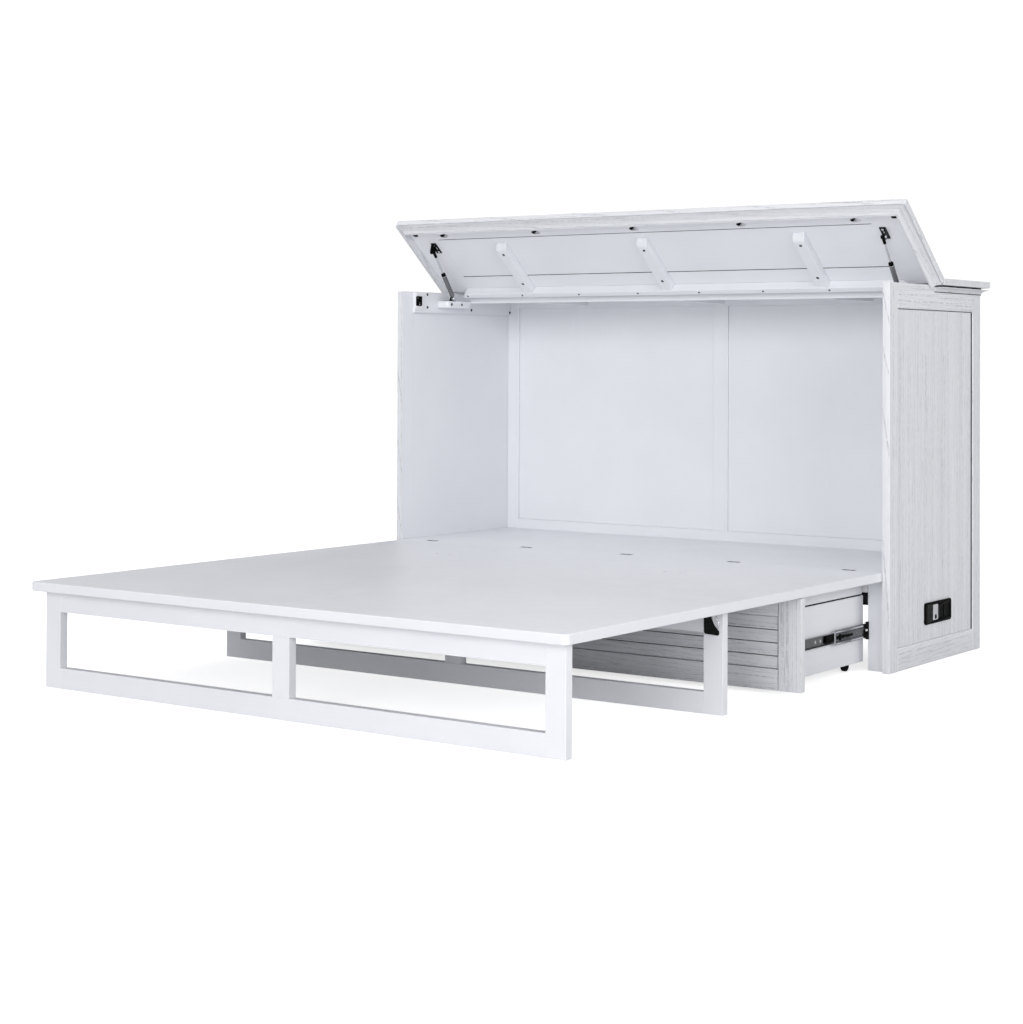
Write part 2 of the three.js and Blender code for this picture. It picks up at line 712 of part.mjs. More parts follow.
// the steel plate of a folding bracket, with a lobe at its foot, on one face of a frame
function legBrackets(platform, name, face, outward) {
  const near = face + outward * GAP;
  const far = near + outward * LEG_BRACKET_THICKNESS;
  const depth = [Math.min(near, far), Math.max(near, far)];
  const [inner, outer] = LEG_BRACKET_X;
  const [low, high] = LEG_BRACKET_Z;
  const lobe = [inner + LEG_BRACKET_LOBE + 1, low + LEG_BRACKET_LOBE];
  const toe = [outer - LEG_BRACKET_TOE, low + LEG_BRACKET_TOE];
  for (const [side, sign] of SIDES) {
    const outline = [
      [inner, high],
      [inner, high - 28],
      ...arc(lobe, LEG_BRACKET_LOBE, Math.PI, 1.5 * Math.PI, 5),
      ...arc(toe, LEG_BRACKET_TOE, 1.5 * Math.PI, 2 * Math.PI, 4),
      [outer, high - 18],
      [outer - 4, high],
    ];
    const plate = prismAlongY(outline.map(([x, z]) => [sign * x, z]), depth);
    add(platform, `${name}_${side}_bracket`, plate, 'black_steel');
  }
}

// ---- assembly --------------------------------------------------------------------------

const bed = new THREE.Group();
bed.position.y = (-PLATFORM_FRONT - CABINET_BACK) / 2;

cabinetSides(bed);
cabinetBack(bed);
cabinetTop(bed);
topRail(bed);
cleats(bed);
lowerCarcass(bed);
outlet(bed);
struts(bed);

const lid = turnedGroup(bed, LID_HINGE_Y, TOP_Z, -LID_OPEN);
lidBoard(lid);
lidMoulding(lid);
lidRails(lid);
strutBrackets(lid);

const drawer = new THREE.Group();
bed.add(drawer);
drawerFront(drawer);
drawerBox(drawer);
casters(drawer);
drawerSlides(bed, drawer);

const platform = new THREE.Group();
bed.add(platform);
middlePanel(platform);
footPanel(platform);
legFrame(platform, 'front_leg_frame', FRONT_LEGS_Y);
legFrame(platform, 'middle_leg_frame', MIDDLE_LEGS_Y);
legBrackets(platform, 'front_leg', FRONT_LEGS_Y[1], 1);
legBrackets(platform, 'middle_leg', MIDDLE_LEGS_Y[0], -1);

const group = new THREE.Group();
group.add(bed);

export default group;
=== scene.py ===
"""The looks of a cabinet bed: eased boards, steel fittings and a studio round them."""

import json
import random
from math import atan2, cos, hypot, pi, radians, sin

import bmesh
import bpy
from mathutils import Matrix, Vector


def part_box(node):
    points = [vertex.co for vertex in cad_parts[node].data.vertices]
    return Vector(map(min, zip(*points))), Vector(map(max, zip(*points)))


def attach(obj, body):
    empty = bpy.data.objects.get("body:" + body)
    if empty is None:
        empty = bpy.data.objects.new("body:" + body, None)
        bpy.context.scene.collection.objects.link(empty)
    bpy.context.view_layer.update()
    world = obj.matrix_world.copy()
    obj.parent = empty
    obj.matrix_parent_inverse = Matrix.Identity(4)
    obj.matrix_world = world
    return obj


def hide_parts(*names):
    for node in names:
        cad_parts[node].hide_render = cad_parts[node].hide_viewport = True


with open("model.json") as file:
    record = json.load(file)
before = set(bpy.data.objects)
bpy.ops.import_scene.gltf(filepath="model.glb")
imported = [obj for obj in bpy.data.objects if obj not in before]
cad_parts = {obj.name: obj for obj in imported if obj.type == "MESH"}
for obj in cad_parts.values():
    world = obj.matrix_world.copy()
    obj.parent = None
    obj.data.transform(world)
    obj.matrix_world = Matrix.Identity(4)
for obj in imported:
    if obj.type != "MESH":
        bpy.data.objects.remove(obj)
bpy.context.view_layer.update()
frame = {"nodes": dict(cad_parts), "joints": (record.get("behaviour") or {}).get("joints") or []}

X, Y, Z = 0, 1, 2
MM = 0.001
SIDES = (("left", -1), ("right", 1))
# the gap between a panel and the frame it is let into, in millimetres
PANEL_GAP = 0.3
# pieces that are laid at a slant, for settle()
SLANTED = []


# ---- what the frame says ----


def joint(name):
    return next(j for j in frame["joints"] if j["name"] == name)


def pivot_of(name):
    """A point on a joint's axis, in millimetres."""
    return Vector(joint(name)["pos_m"]) / MM


def lid_space():
    """Lays pieces of the lid, which are built as it lies shut, where it stands open."""
    lid = joint("lid_close")
    hinge = Vector(lid["pos_m"])
    turn = Matrix.Rotation(-radians(lid["range_deg"][1]), 4, "X")
    return Matrix.Translation(hinge) @ turn @ Matrix.Translation(-hinge)


def strut_space(name):
    """A strut's own space: its lower pivot at the origin and its length along +Y."""
    _, y, z = joint(f"{name}_strut_stroke")["axis"]
    pivot = Vector(joint(f"{name}_strut_swing")["pos_m"])
    return Matrix.Translation(pivot) @ Matrix.Rotation(atan2(z, y), 4, "X")


# the bodies that are drawn in a space of their own
SPACES = {"lid": lid_space()}
for side, _ in SIDES:
    for part in ("barrel", "rod"):
        SPACES[f"{side}_strut_{part}"] = strut_space(side)


def box(node, body=None):
    """Lowest and highest corner of a CAD node, in millimetres and in its body's space."""
    if body not in SPACES:
        return [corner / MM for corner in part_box(node)]
    inverse = SPACES[body].inverted()
    points = [(inverse @ v.co) / MM for v in frame["nodes"][node].data.vertices]
    return [Vector(pick(p[i] for p in points) for i in range(3)) for pick in (min, max)]


def faces(low, high, sign):
    """The x of the inner and of the outer face of a box on a side."""
    return (low.x, high.x) if sign > 0 else (high.x, low.x)


# ---- materials ----


class Nodes:
    """A short way to write a material's node tree."""

    def __init__(self, name):
        self.material = bpy.data.materials.new(name)
        self.material.use_nodes = True
        self.tree = self.material.node_tree
        self.shader = self.tree.nodes["Principled BSDF"]

    def feed(self, socket, value):
        if isinstance(value, bpy.types.NodeSocket):
            self.tree.links.new(value, socket)
        else:
            socket.default_value = value

    def add(self, kind, *values, **settings):
        """A node with values for its first sockets, and properties or other sockets by name."""
        node = self.tree.nodes.new("ShaderNode" + kind)
        for key, value in settings.items():
            if hasattr(node, key):
                setattr(node, key, value)
            else:
                self.feed(node.inputs[key], value)
        for socket, value in zip(node.inputs, values):
            self.feed(socket, value)
        return node

    def math(self, operation, *values):
        return self.add("Math", *values, operation=operation).outputs[0]

    def times(self, a, b):
        return self.math("MULTIPLY", a, b)

    def plus(self, a, b):
        return self.math("ADD", a, b)

    def stretched(self, vector, scale):
        return self.add("Mapping", Vector=vector, Scale=scale).outputs[0]

    def noise(self, vector, scale, detail=3.0, roughness=0.5):
        node = self.add("TexNoise", Vector=vector, Scale=scale, Detail=detail, Roughness=roughness)
        return node.outputs["Fac"]

    def remap(self, value, low, high, to_low=0.0, to_high=1.0):
        return self.add("MapRange", value, low, high, to_low, to_high).outputs[0]

    def mix(self, factor, first, second):
        node = self.add("Mix", factor, data_type="RGBA")
        self.feed(node.inputs[6], first)
        self.feed(node.inputs[7], second)
        return node.outputs[2]

    def attribute(self, name, output="Vector"):
        return self.add("Attribute", attribute_name=name).outputs[output]

    def object_place(self):
        return self.add("TexCoord").outputs["Object"]

    def bump(self, height, distance):
        node = self.add("Bump", Height=height, Distance=distance)
        self.feed(self.shader.inputs["Normal"], node.outputs[0])

    def surface(self, **sockets):
        for key, value in sockets.items():
            self.feed(self.shader.inputs[key.replace("_", " ")], value)
        return self.material


def grey(value, blue=0.0):
    """A colour, slightly cool where blue is above 0."""
    return (value, value * (1 + blue / 5), value * (1 + blue), 1.0)


def painted_wood():
    """Satin white paint: faint cloudiness, brush drag along the board and fine orange peel."""
    n = Nodes("painted_wood")
    place = n.attribute("grain")
    cloud = n.noise(place, 5.0, 2.0)
    drag = n.noise(n.stretched(place, (220.0, 220.0, 5.0)), 1.0, 2.0)
    peel = n.noise(place, 900.0, 1.0)
    tone = n.plus(n.remap(cloud, 0.3, 0.7, 0.0, 0.6), n.remap(drag, 0.3, 0.7, 0.0, 0.2))
    colour = n.mix(tone, grey(0.79, 0.06), grey(0.83, 0.055))
    # painted highlight: the slanted faces of eased edges are lighter, in patches
    paint_edge_highlight = n.times(n.attribute("eased", "Fac"), n.remap(n.noise(place, 60.0), 0.4, 0.65))
    colour = n.mix(n.times(paint_edge_highlight, 0.5), colour, grey(0.88, 0.06))
    height = n.plus(n.times(drag, 0.6), n.times(peel, 0.4))
    n.bump(height, 0.00012)
    rough = n.remap(n.noise(place, 25.0), 0.3, 0.7, 0.32, 0.44)
    return n.surface(Base_Color=colour, Roughness=rough, Specular_IOR_Level=0.45)


def limed_wood():
    """Whitewashed open-grain wood: growth rings cut by the board's face, pores and streaks."""
    n = Nodes("limed_wood")
    place = n.attribute("grain")
    across, depth, length = n.add("SeparateXYZ", place).outputs

    # rings slowly leave the face: their cuts run almost straight and meet in pointed arches
    wander = n.noise(n.stretched(place, (0.4, 0.4, 1.1)), 1.0, 1.0)
    ripple = n.noise(n.stretched(place, (24.0, 24.0, 4.0)), 1.0, 2.0)
    side = n.math("PINGPONG", n.plus(across, n.times(wander, 0.06)), 0.07)
    squared = n.plus(n.times(side, side), 0.00001)
    rise = n.plus(n.times(depth, 0.3), n.times(length, 0.04))
    radius = n.plus(n.math("SQRT", squared), n.times(ripple, 0.003))
    radius = n.plus(radius, rise)
    ring = n.math("FRACT", n.times(radius, 90.0))
    line = n.times(n.remap(ring, 0.84, 0.96), n.remap(ring, 1.0, 0.96))
    broken = n.noise(n.stretched(place, (150.0, 150.0, 70.0)), 1.0, 3.0, 0.7)
    line = n.times(line, n.remap(broken, 0.40, 0.60, 0.15, 1.0))

    # straight pores: long faint lines broken into dots, and scattered short dark strokes
    pores = n.noise(n.stretched(place, (210.0, 210.0, 1.1)), 1.0, 2.0, 0.6)
    pores = n.times(n.remap(pores, 0.56, 0.66), n.remap(broken, 0.42, 0.56))
    dash = n.noise(n.stretched(place, (260.0, 260.0, 16.0)), 1.0, 3.0, 0.65)
    dash = n.remap(dash, 0.56, 0.72)
    streak = n.noise(n.stretched(place, (30.0, 30.0, 0.5)), 1.0, 4.0, 0.7)
    streak = n.remap(streak, 0.35, 0.68)

    tone = n.mix(streak, grey(0.775, 0.05), grey(0.695, 0.055))
    tone = n.mix(n.times(line, 0.75), tone, grey(0.36, 0.06))
    tone = n.mix(n.times(dash, 0.36), tone, grey(0.40, 0.06))
    tone = n.mix(n.times(pores, 0.5), tone, grey(0.38, 0.06))
    # painted highlight: the slanted faces of eased edges are lighter, in patches
    wood_edge_highlight = n.times(n.attribute("eased", "Fac"), n.remap(n.noise(place, 40.0), 0.35, 0.6))
    tone = n.mix(n.times(wood_edge_highlight, 0.6), tone, grey(0.89, 0.04))

    sunk = n.plus(n.times(pores, 0.6), n.times(line, 0.7))
    n.bump(n.math("SUBTRACT", 1.0, n.plus(sunk, n.times(dash, 0.4))), 0.0003)
    rough = n.remap(streak, 0.0, 1.0, 0.5, 0.64)
    return n.surface(Base_Color=tone, Roughness=rough, Specular_IOR_Level=0.35)


def coated_steel(name, low, high, metallic, roughness, scale=260.0, gloss=0.5):
    """Steel under a thin coat: mottled tone, fine scratches and uneven gloss."""
    n = Nodes(name)
    place = n.object_place()
    mottle = n.noise(place, scale, 3.0)
    scratch = n.noise(n.stretched(place, (40.0, 900.0, 900.0)), 1.0, 2.0)
    tone = n.plus(n.times(mottle, 0.7), n.times(scratch, 0.3))
    colour = n.mix(n.remap(tone, 0.35, 0.65), grey(low, 0.04), grey(high, 0.05))
    n.bump(tone, 0.00006)
    rough = n.remap(n.noise(place, scale / 4), 0.3, 0.7, roughness - 0.06, roughness + 0.08)
    return n.surface(Base_Color=colour, Roughness=rough, Metallic=metallic, Specular_IOR_Level=gloss)


def moulded(name, low, high, roughness, scale=700.0, bump=0.00008, gloss=0.4):
    """Moulded plastic or rubber: a fine texture off the mould; near black, the same look is the painted
    shade set in gaps.
    """
    n = Nodes(name)
    place = n.object_place()
    texture = n.noise(place, scale, 2.0)
    cloud = n.noise(place, 35.0)
    colour = n.mix(n.remap(cloud, 0.3, 0.7), grey(low, 0.03), grey(high, 0.04))
    n.bump(texture, bump)
    rough = n.remap(n.noise(place, 60.0), 0.3, 0.7, roughness - 0.06, roughness + 0.08)
    return n.surface(Base_Color=colour, Roughness=rough, Specular_IOR_Level=gloss)


MATERIALS = {"painted_wood": painted_wood(), "limed_wood": limed_wood()}
for name, look in (
    ("black_steel", (0.004, 0.010, 0.0, 0.25, 260.0, 0.1)),
    ("zinc_steel", (0.11, 0.2, 0.95, 0.2)),
    ("strut_steel", (0.17, 0.25, 0.9, 0.22)),
    ("bright_rod", (0.62, 0.78, 1.0, 0.15)),
):
    MATERIALS[name] = coated_steel(name, *look)
for name, look in (
    ("black_plastic", (0.002, 0.005, 0.22, 700.0, 0.00008, 0.015)),
    ("grey_plastic", (0.5, 0.6, 0.42)),
    ("white_plastic", (0.76, 0.82, 0.4)),
    ("caster_rubber", (0.006, 0.012, 0.6, 420.0, 0.00025, 0.06)),
    # gap shade is painted shade: a near-black strip or face put in seams and grooves where shade falls
    ("dark_gap", (0.02, 0.04, 0.85, 700.0, 0.00008, 0.1)),
):
    MATERIALS[name] = moulded(name, *look)


# ---- mesh helpers: shapes are drawn in millimetres, and a finished piece is in metres ----


def in_order(a, b):
    """The lowest and the highest corner of the box between two corners."""
    return [min(pair) for pair in zip(a, b)], [max(pair) for pair in zip(a, b)]


def shape_box(a, b):
    """A bmesh box between two corners."""
    low, high = in_order(a, b)
    bm = bmesh.new()
    bmesh.ops.create_cube(bm, size=1.0)
    for v in bm.verts:
        v.co = [low[i] + (v.co[i] + 0.5) * (high[i] - low[i]) for i in range(3)]
    return bm


def shape_of_node(node, body=None):
    """A bmesh of a CAD node's solid with its flat faces whole, in its body's space."""
    bm = bmesh.new()
    bm.from_mesh(frame["nodes"][node].data)
    bmesh.ops.remove_doubles(bm, verts=bm.verts, dist=1e-6)
    bmesh.ops.dissolve_limit(bm, angle_limit=radians(1), verts=bm.verts, edges=bm.edges)
    bm.transform(Matrix.Scale(1 / MM, 4) @ SPACES.get(body, Matrix()).inverted())
    return bm


def point(axis, u, v, along):
    """A point by its place on the two other axes, in X, Y, Z order, and along axis."""
    place = [u, v]
    place.insert(axis, along)
    return Vector(place)


def shape_prism(points, axis, start, end):
    """A prism along axis over an outline in the two other axes."""
    bm = bmesh.new()
    ends = sorted((start, end))
    close_rings(bm, [[bm.verts.new(point(axis, u, v, end)) for u, v in points] for end in ends])
    return bm


def shape_slab(a, b, corner, axis=X, steps=5):
    """A box whose four edges along axis are rounded."""
    low, high = in_order(a, b)
    u, v = [i for i in range(3) if i != axis]
    centres = (
        (high[u] - corner, low[v] + corner, -90),
        (high[u] - corner, high[v] - corner, 0),
        (low[u] + corner, high[v] - corner, 90),
        (low[u] + corner, low[v] + corner, 180),
    )
    points = []
    for at_u, at_v, start in centres:
        for k in range(steps + 1):
            angle = radians(start + 90 * k / steps)
            points.append((at_u + corner * cos(angle), at_v + corner * sin(angle)))
    return shape_prism(points, axis, low[axis], high[axis])


def close_rings(bm, rings):
    """Walls between each ring and the next, and a cap at each end."""
    for low, high in zip(rings, rings[1:]):
        for i, vert in enumerate(low):
            j = (i + 1) % len(low)
            bm.faces.new((vert, low[j], high[j], high[i]))
    bm.faces.new(list(reversed(rings[0])))
    bm.faces.new(rings[-1])
    bmesh.ops.recalc_face_normals(bm, faces=bm.faces)


def shape_turned(profile, axis=X, centre=(0, 0, 0), sides=40):
    """A solid of revolution; profile is (radius, along) pairs, closed flat at both ends."""
    bm = bmesh.new()
    profile = [(0, profile[0][1]), *profile]
    if profile[-1][0] > 0:
        profile.append((0, profile[-1][1]))
    rings = []
    for radius, along in profile:
        turns = [2 * pi * k / sides for k in range(sides if radius > 0 else 1)]
        ring = [point(axis, radius * cos(t), radius * sin(t), along) for t in turns]
        rings.append([bm.verts.new(Vector(centre) + co) for co in ring])
    for low, high in zip(rings, rings[1:]):
        for k in range(sides):
            a, b = low[k % len(low)], low[(k + 1) % len(low)]
            c, d = high[(k + 1) % len(high)], high[k % len(high)]
            corners = list(dict.fromkeys((a, b, c, d)))
            if len(corners) > 2:
                bm.faces.new(corners)
    bmesh.ops.recalc_face_normals(bm, faces=bm.faces)
    return bm


def set_outward(bm, at, sign):
    """Moves a shape turned about X to a point, with its end facing outward on a side."""
    bm.transform(Matrix.Translation(at) @ Matrix.Rotation(0 if sign > 0 else pi, 4, "Z"))
    return bm


def ease(bm, radius, keep=None, segments=2, sharper_than=35):
    """Rounds the sharp edges that keep() accepts; returns the bmesh."""
    sharp = radians(sharper_than)
    chosen = [
        e for e in bm.edges
        if e.is_manifold and e.calc_face_angle(0) > sharp and (keep is None or keep(e))
    ]
    if chosen:
        bmesh.ops.bevel(
            bm, geom=chosen, offset=radius, segments=segments, profile=0.5,
            affect="EDGES", clamp_overlap=True,
        )
    return bm


def not_facing(*directions):
    """Accepts an edge unless one of its faces looks along one of the directions."""
    def keep(edge):
        return not any(f.normal.dot(Vector(d)) > 0.95 for f in edge.link_faces for d in directions)
    return keep


def join_shapes(*shapes):
    """One bmesh holding several closed shapes."""
    whole = bmesh.new()
    for bm in shapes:
        mesh = bpy.data.meshes.new("part")
        bm.to_mesh(mesh)
        bm.free()
        whole.from_mesh(mesh)
        bpy.data.meshes.remove(mesh)
    return whole


def mesh_of(name, bm):
    """A mesh in metres of a shape in millimetres, which it uses up."""
    mesh = bpy.data.meshes.new(name)
    bm.normal_update()
    bm.to_mesh(mesh)
    bm.free()
    mesh.transform(Matrix.Scale(MM, 4))
    return mesh


def set_grain(mesh, name, along, highlight_edges):
    """Where each point lies in its own board: across, through and along the grain."""
    for old in ("grain", "eased"):
        if old in mesh.attributes:
            mesh.attributes.remove(mesh.attributes[old])
    extent = [
        max(v.co[i] for v in mesh.vertices) - min(v.co[i] for v in mesh.vertices) for i in range(3)
    ]
    across, through = sorted((i for i in range(3) if i != along), key=lambda i: -extent[i])
    shift = random.Random(name)
    offset = [shift.uniform(0.0, 9.0) for _ in range(3)]
    grain = mesh.attributes.new("grain", "FLOAT_VECTOR", "POINT")
    order = (across, through, along)
    values = [v.co[order[i]] + offset[i] for v in mesh.vertices for i in range(3)]
    grain.data.foreach_set("vector", values)

    # the faces slanted by easing, which the wood materials paint lighter as a highlight
    eased = mesh.attributes.new("eased", "FLOAT", "FACE")
    slanted = [
        float(highlight_edges and max(abs(c) for c in f.normal) < 0.995) for f in mesh.polygons
    ]
    eased.data.foreach_set("value", slanted)


def place_object(name, data):
    obj = bpy.data.objects.new(name, data)
    bpy.context.scene.collection.objects.link(obj)
    return obj


def piece(name, bm, body, material, along=X, stands_for=None, slot=None, smooth=0):
    """Makes a finished object of a shape drawn in its body's space, riding on that body."""
    mesh = mesh_of(name, bm)
    mesh.materials.append(MATERIALS[material])
    set_grain(mesh, name, along, not smooth)
    if smooth:
        mesh.shade_smooth()
        mesh.set_sharp_from_angle(angle=radians(smooth))
    obj = place_object(name, mesh)
    if body in SPACES:
        obj.matrix_world = SPACES[body]
        SLANTED.append(obj)
    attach(obj, body)
    if stands_for:
        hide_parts(stands_for)
    return obj


def paint_faces(obj, direction, material):
    """Gives the faces that look along direction a second material."""
    obj.data.materials.append(MATERIALS[material])
    for face in obj.data.polygons:
        if face.normal.dot(Vector(direction)) > 0.9:
            face.material_index = 1


def board(name, low, high, body, material, along, radius=1.2, keep=None, **rest):
    bm = ease(shape_box(low, high), radius, keep)
    return piece(name, bm, body, material, along, **rest)


def upright_boards(prefix, node, body, material, radius, rows, thin=Y, keep=None):
    """The boards of an upright frame, from rows of name, level range, range in Z and grain."""
    low, high = box(node)
    return [
        board(
            f"{prefix}_{part}", point(thin, u[0], z[0], low[thin]), point(thin, u[1], z[1], high[thin]),
            body, material, along, radius, keep, stands_for=node,
        )
        for part, u, z, along in rows
    ]


def eased_node(node, body, material, along=X, radius=1.2, keep=None, suffix="wood"):
    """A CAD node's own solid with its edges eased, standing for it."""
    bm = ease(shape_of_node(node, body), radius, keep)
    return piece(f"{node}_{suffix}", bm, body, material, along, stands_for=node)


def cut_away(obj, shape):
    """Cuts a closed shape, drawn in the object's own space, out of an object."""
    cutter = place_object("cutter", mesh_of("cutter", shape))
    cutter.matrix_world = obj.matrix_world
    bpy.context.view_layer.update()
    modifier = obj.modifiers.new("cut", "BOOLEAN")
    modifier.operation = "DIFFERENCE"
    modifier.object = cutter
    modifier.solver = "EXACT"
    evaluated = obj.evaluated_get(bpy.context.evaluated_depsgraph_get())
    result = bpy.data.meshes.new_from_object(evaluated)
    obj.modifiers.clear()
    obj.data = result
    set_grain(result, obj.name, X, True)
    # this removes the cutter too
    bpy.data.meshes.remove(cutter.data)


# ---- small fittings ----


def screw_shape(at, facing, radius=3.2, sides=24, lip=0.35):
    """A countersunk cross-head screw set a little into the surface at a point."""
    bm = bmesh.new()
    turns = [2 * pi * k / sides for k in range(sides)]
    # the cross recess: a ring that dips between four arms
    cross = [radius * (0.22 + 0.42 * abs(cos(2 * turn)) ** 6) for turn in turns]
    rims = [
        (radius * 1.18, 0.0), (radius * 1.18, lip), (radius, lip), (radius * 0.9, lip * 0.3),
    ]
    rows = [([r] * sides, height) for r, height in rims]
    rows += [(cross, lip * 0.3), ([r * 0.7 for r in cross], -radius * 0.5)]
    rings = [
        [
            bm.verts.new((r * cos(turn), r * sin(turn), height))
            for r, turn in zip(radii, turns)
        ]
        for radii, height in rows
    ]
    close_rings(bm, rings)
    turn = Vector(facing).to_track_quat("Z", "Y").to_matrix().to_4x4()
    bm.transform(Matrix.Translation(Vector(at)) @ turn)
    return bm


def screws(name, points, facing, body, material="black_steel", radius=3.2):
    shapes = [screw_shape(p, facing, radius) for p in points]
    piece(name, join_shapes(*shapes), body, material)


def strip(path, width):
    """The outline of a band of even width along a path in a plane."""
    left, right = [], []
    for i, (u, v) in enumerate(path):
        before, beyond = path[max(i - 1, 0)], path[min(i + 1, len(path) - 1)]
        du, dv = beyond[0] - before[0], beyond[1] - before[1]
        half = width / 2 / hypot(du, dv)
        left.append((u - dv * half, v + du * half))
        right.append((u + dv * half, v - du * half))
    return left + right[::-1]


def quarter(steps):
    """Even angles over a quarter turn."""
    return [pi / 2 * k / steps for k in range(steps + 1)]


# ---- cabinet ----


def cabinet_sides():
    """Stiles, rails and a panel on each side, limed outside and painted inside."""
    gap = Vector((0, PANEL_GAP, PANEL_GAP))
    for name, sign in SIDES:
        inward = (-sign, 0, 0)
        node = f"{name}_side_frame"
        low, high = box(node)
        keep = not_facing(inward)
        panel_low, panel_high = box(f"{name}_side_panel")
        foot, head = panel_low - gap, panel_high + gap
        stiles = (
            ("front_stile", (low.y, foot.y), (low.z, high.z), Z),
            ("rear_stile", (head.y, high.y), (low.z, high.z), Z),
        )
        bottom = [("bottom_rail", (foot.y, head.y), (low.z, foot.z), Y)]
        top = [("top_rail", (foot.y, head.y), (head.z, high.z), Y)]
        boards = []
        for rows, radius in ((stiles, 1.2), (bottom, 2.6), (top, 1.2)):
            boards += upright_boards(
                f"{name}_side", node, "cabinet", "limed_wood", radius, rows, X, keep,
            )
        boards.append(side_panel(name, sign, panel_low, panel_high))
        for obj in boards:
            paint_faces(obj, inward, "painted_wood")


def side_panel(name, sign, low, high):
    """A panel on a thin backing; it shrank off its rear and top grooves, which show dark, the rear one
    by a strip of painted shade.
    """
    inner, outer = faces(low, high, sign)
    step = inner + sign * 4
    backing = shape_box((inner, low.y, low.z), (step, high.y, high.z))
    panel = shape_box((step - sign * 0.5, low.y, low.z), (outer, high.y - 1.9, high.z - 2.2))
    ease(panel, 0.7, not_facing((-sign, 0, 0)))
    # painted shade: a near-black strip on the rear wall of the groove
    seal = shape_box((step, high.y - 0.5, low.z), (outer + sign * 2.4, high.y - 0.1, high.z - 1))
    piece(f"{name}_panel_seal", seal, "cabinet", "dark_gap")
    node = f"{name}_side_panel"
    whole = join_shapes(backing, panel)
    return piece(f"{node}_wood", whole, "cabinet", "limed_wood", Z, stands_for=node)


def cabinet_back():
    """Stiles and rails round the two rear panels; below the deck only the end stiles go on."""
    low, high = box("back_frame")
    left_low, left_high = box("left_back_panel")
    right_low, right_high = box("right_back_panel")
    gap = PANEL_GAP
    a, b = left_low.x - gap, right_high.x + gap
    foot, head = left_low.z - gap, left_high.z + gap
    upright_boards("back", "back_frame", "cabinet", "painted_wood", 0.9, (
        ("left_stile", (low.x, a), (low.z, high.z), Z),
        ("centre_stile", (left_high.x + gap, right_low.x - gap), (foot, head), Z),
        ("right_stile", (b, high.x), (low.z, high.z), Z),
        ("bottom_rail", (a, b), (box("deck")[0].z, foot), X),
        ("top_rail", (a, b), (head, high.z), X),
    ))
    for name, _ in SIDES:
        eased_node(f"{name}_back_panel", "cabinet", "painted_wood", Z, 0.3)


def crown_profile():
    """The crown moulding's section as (out, up) from the foot of its inner face."""
    points = [(0, 0), (2.2, 0), (2.5, 0.4), (2.5, 1.2), (0.3, 1.2), (0.3, 3.6), (2.7, 3.6)]
    for angle in quarter(12):
        points.append((2.7 + 20.8 * (1 - cos(angle)), 3.7 + 10.2 * sin(angle)))
    return points + [(26, 13.9), (26, 15.4), (25.4, 15.9), (2, 15.9), (2, 20.7), (0, 20.7)]


def crown(name, path, foot, body, node, along):
    """One length of crown moulding along a level path of (x, y, out_x, out_y)."""
    bm = bmesh.new()
    rings = [
        [
            bm.verts.new((x + out * out_x, y + out * out_y, foot + up))
            for out, up in crown_profile()
        ]
        for x, y, out_x, out_y in path
    ]
    close_rings(bm, rings)
    piece(name, bm, body, "limed_wood", along, stands_for=node, smooth=30)


def cabinet_top():
    """The fixed top board, and a crown under each end with two strips of painted shade behind it."""
    bm = ease(shape_box(*box("top_board")), 1.5, segments=3)
    piece("top_board_wood", bm, "cabinet", "limed_wood", X, stands_for="top_board")
    for name, sign in SIDES:
        node = f"{name}_top_moulding"
        low, high = box(node)
        inner, _ = faces(low, high, sign)
        path = [(inner, y, sign, 0) for y in (low.y, high.y)]
        crown(f"{name}_top_crown", path, low.z, "cabinet", node, Y)
        # painted shade: two near-black strips, at the crown's foot and under the board
        lines = [
            shape_box(
                (inner + sign * x0, low.y + 1, low.z + z0), (inner + sign * x1, high.y - 1, low.z + z1),
            )
            for x0, x1, z0, z1 in ((0.2, 1.8, 1.3, 3.5), (1.9, 3, 16.2, 20.5))
        ]
        piece(f"{name}_crown_reveal", join_shapes(*lines), "cabinet", "dark_gap")


def top_rail():
    eased_node("top_rail_frame", "cabinet", "painted_wood", X, 0.8, not_facing((0, 0, 1)))


def cleats_and_latches():
    for name, sign in SIDES:
        eased_node(f"{name}_cleat", "cabinet", "painted_wood", Y, 1.0)
        eased_node(f"{name}_strut_block", "cabinet", "painted_wood", Y, 1.4)
        low, high = box(f"{name}_cleat")
        face, _ = faces(low, high, sign)
        holes = ((63.5, 57), (64.5, 17), (295.5, 13), (509.5, 9))
        points = [(face, low.y + along, low.z + up) for along, up in holes]
        screws(f"{name}_cleat_screws", points, (-sign, 0, 0), "cabinet", radius=3.6)
        block_low, block_high = box(f"{name}_strut_block")
        block_face, _ = faces(block_low, block_high, sign)
        middle = (block_low.z + block_high.z) / 2
        points = [(block_face, block_low.y + along, middle) for along in (17, 70)]
        screws(f"{name}_block_screws", points, (-sign, 0, 0), "cabinet", radius=3.6)
        latch(name, sign, face, low.y, high.z)


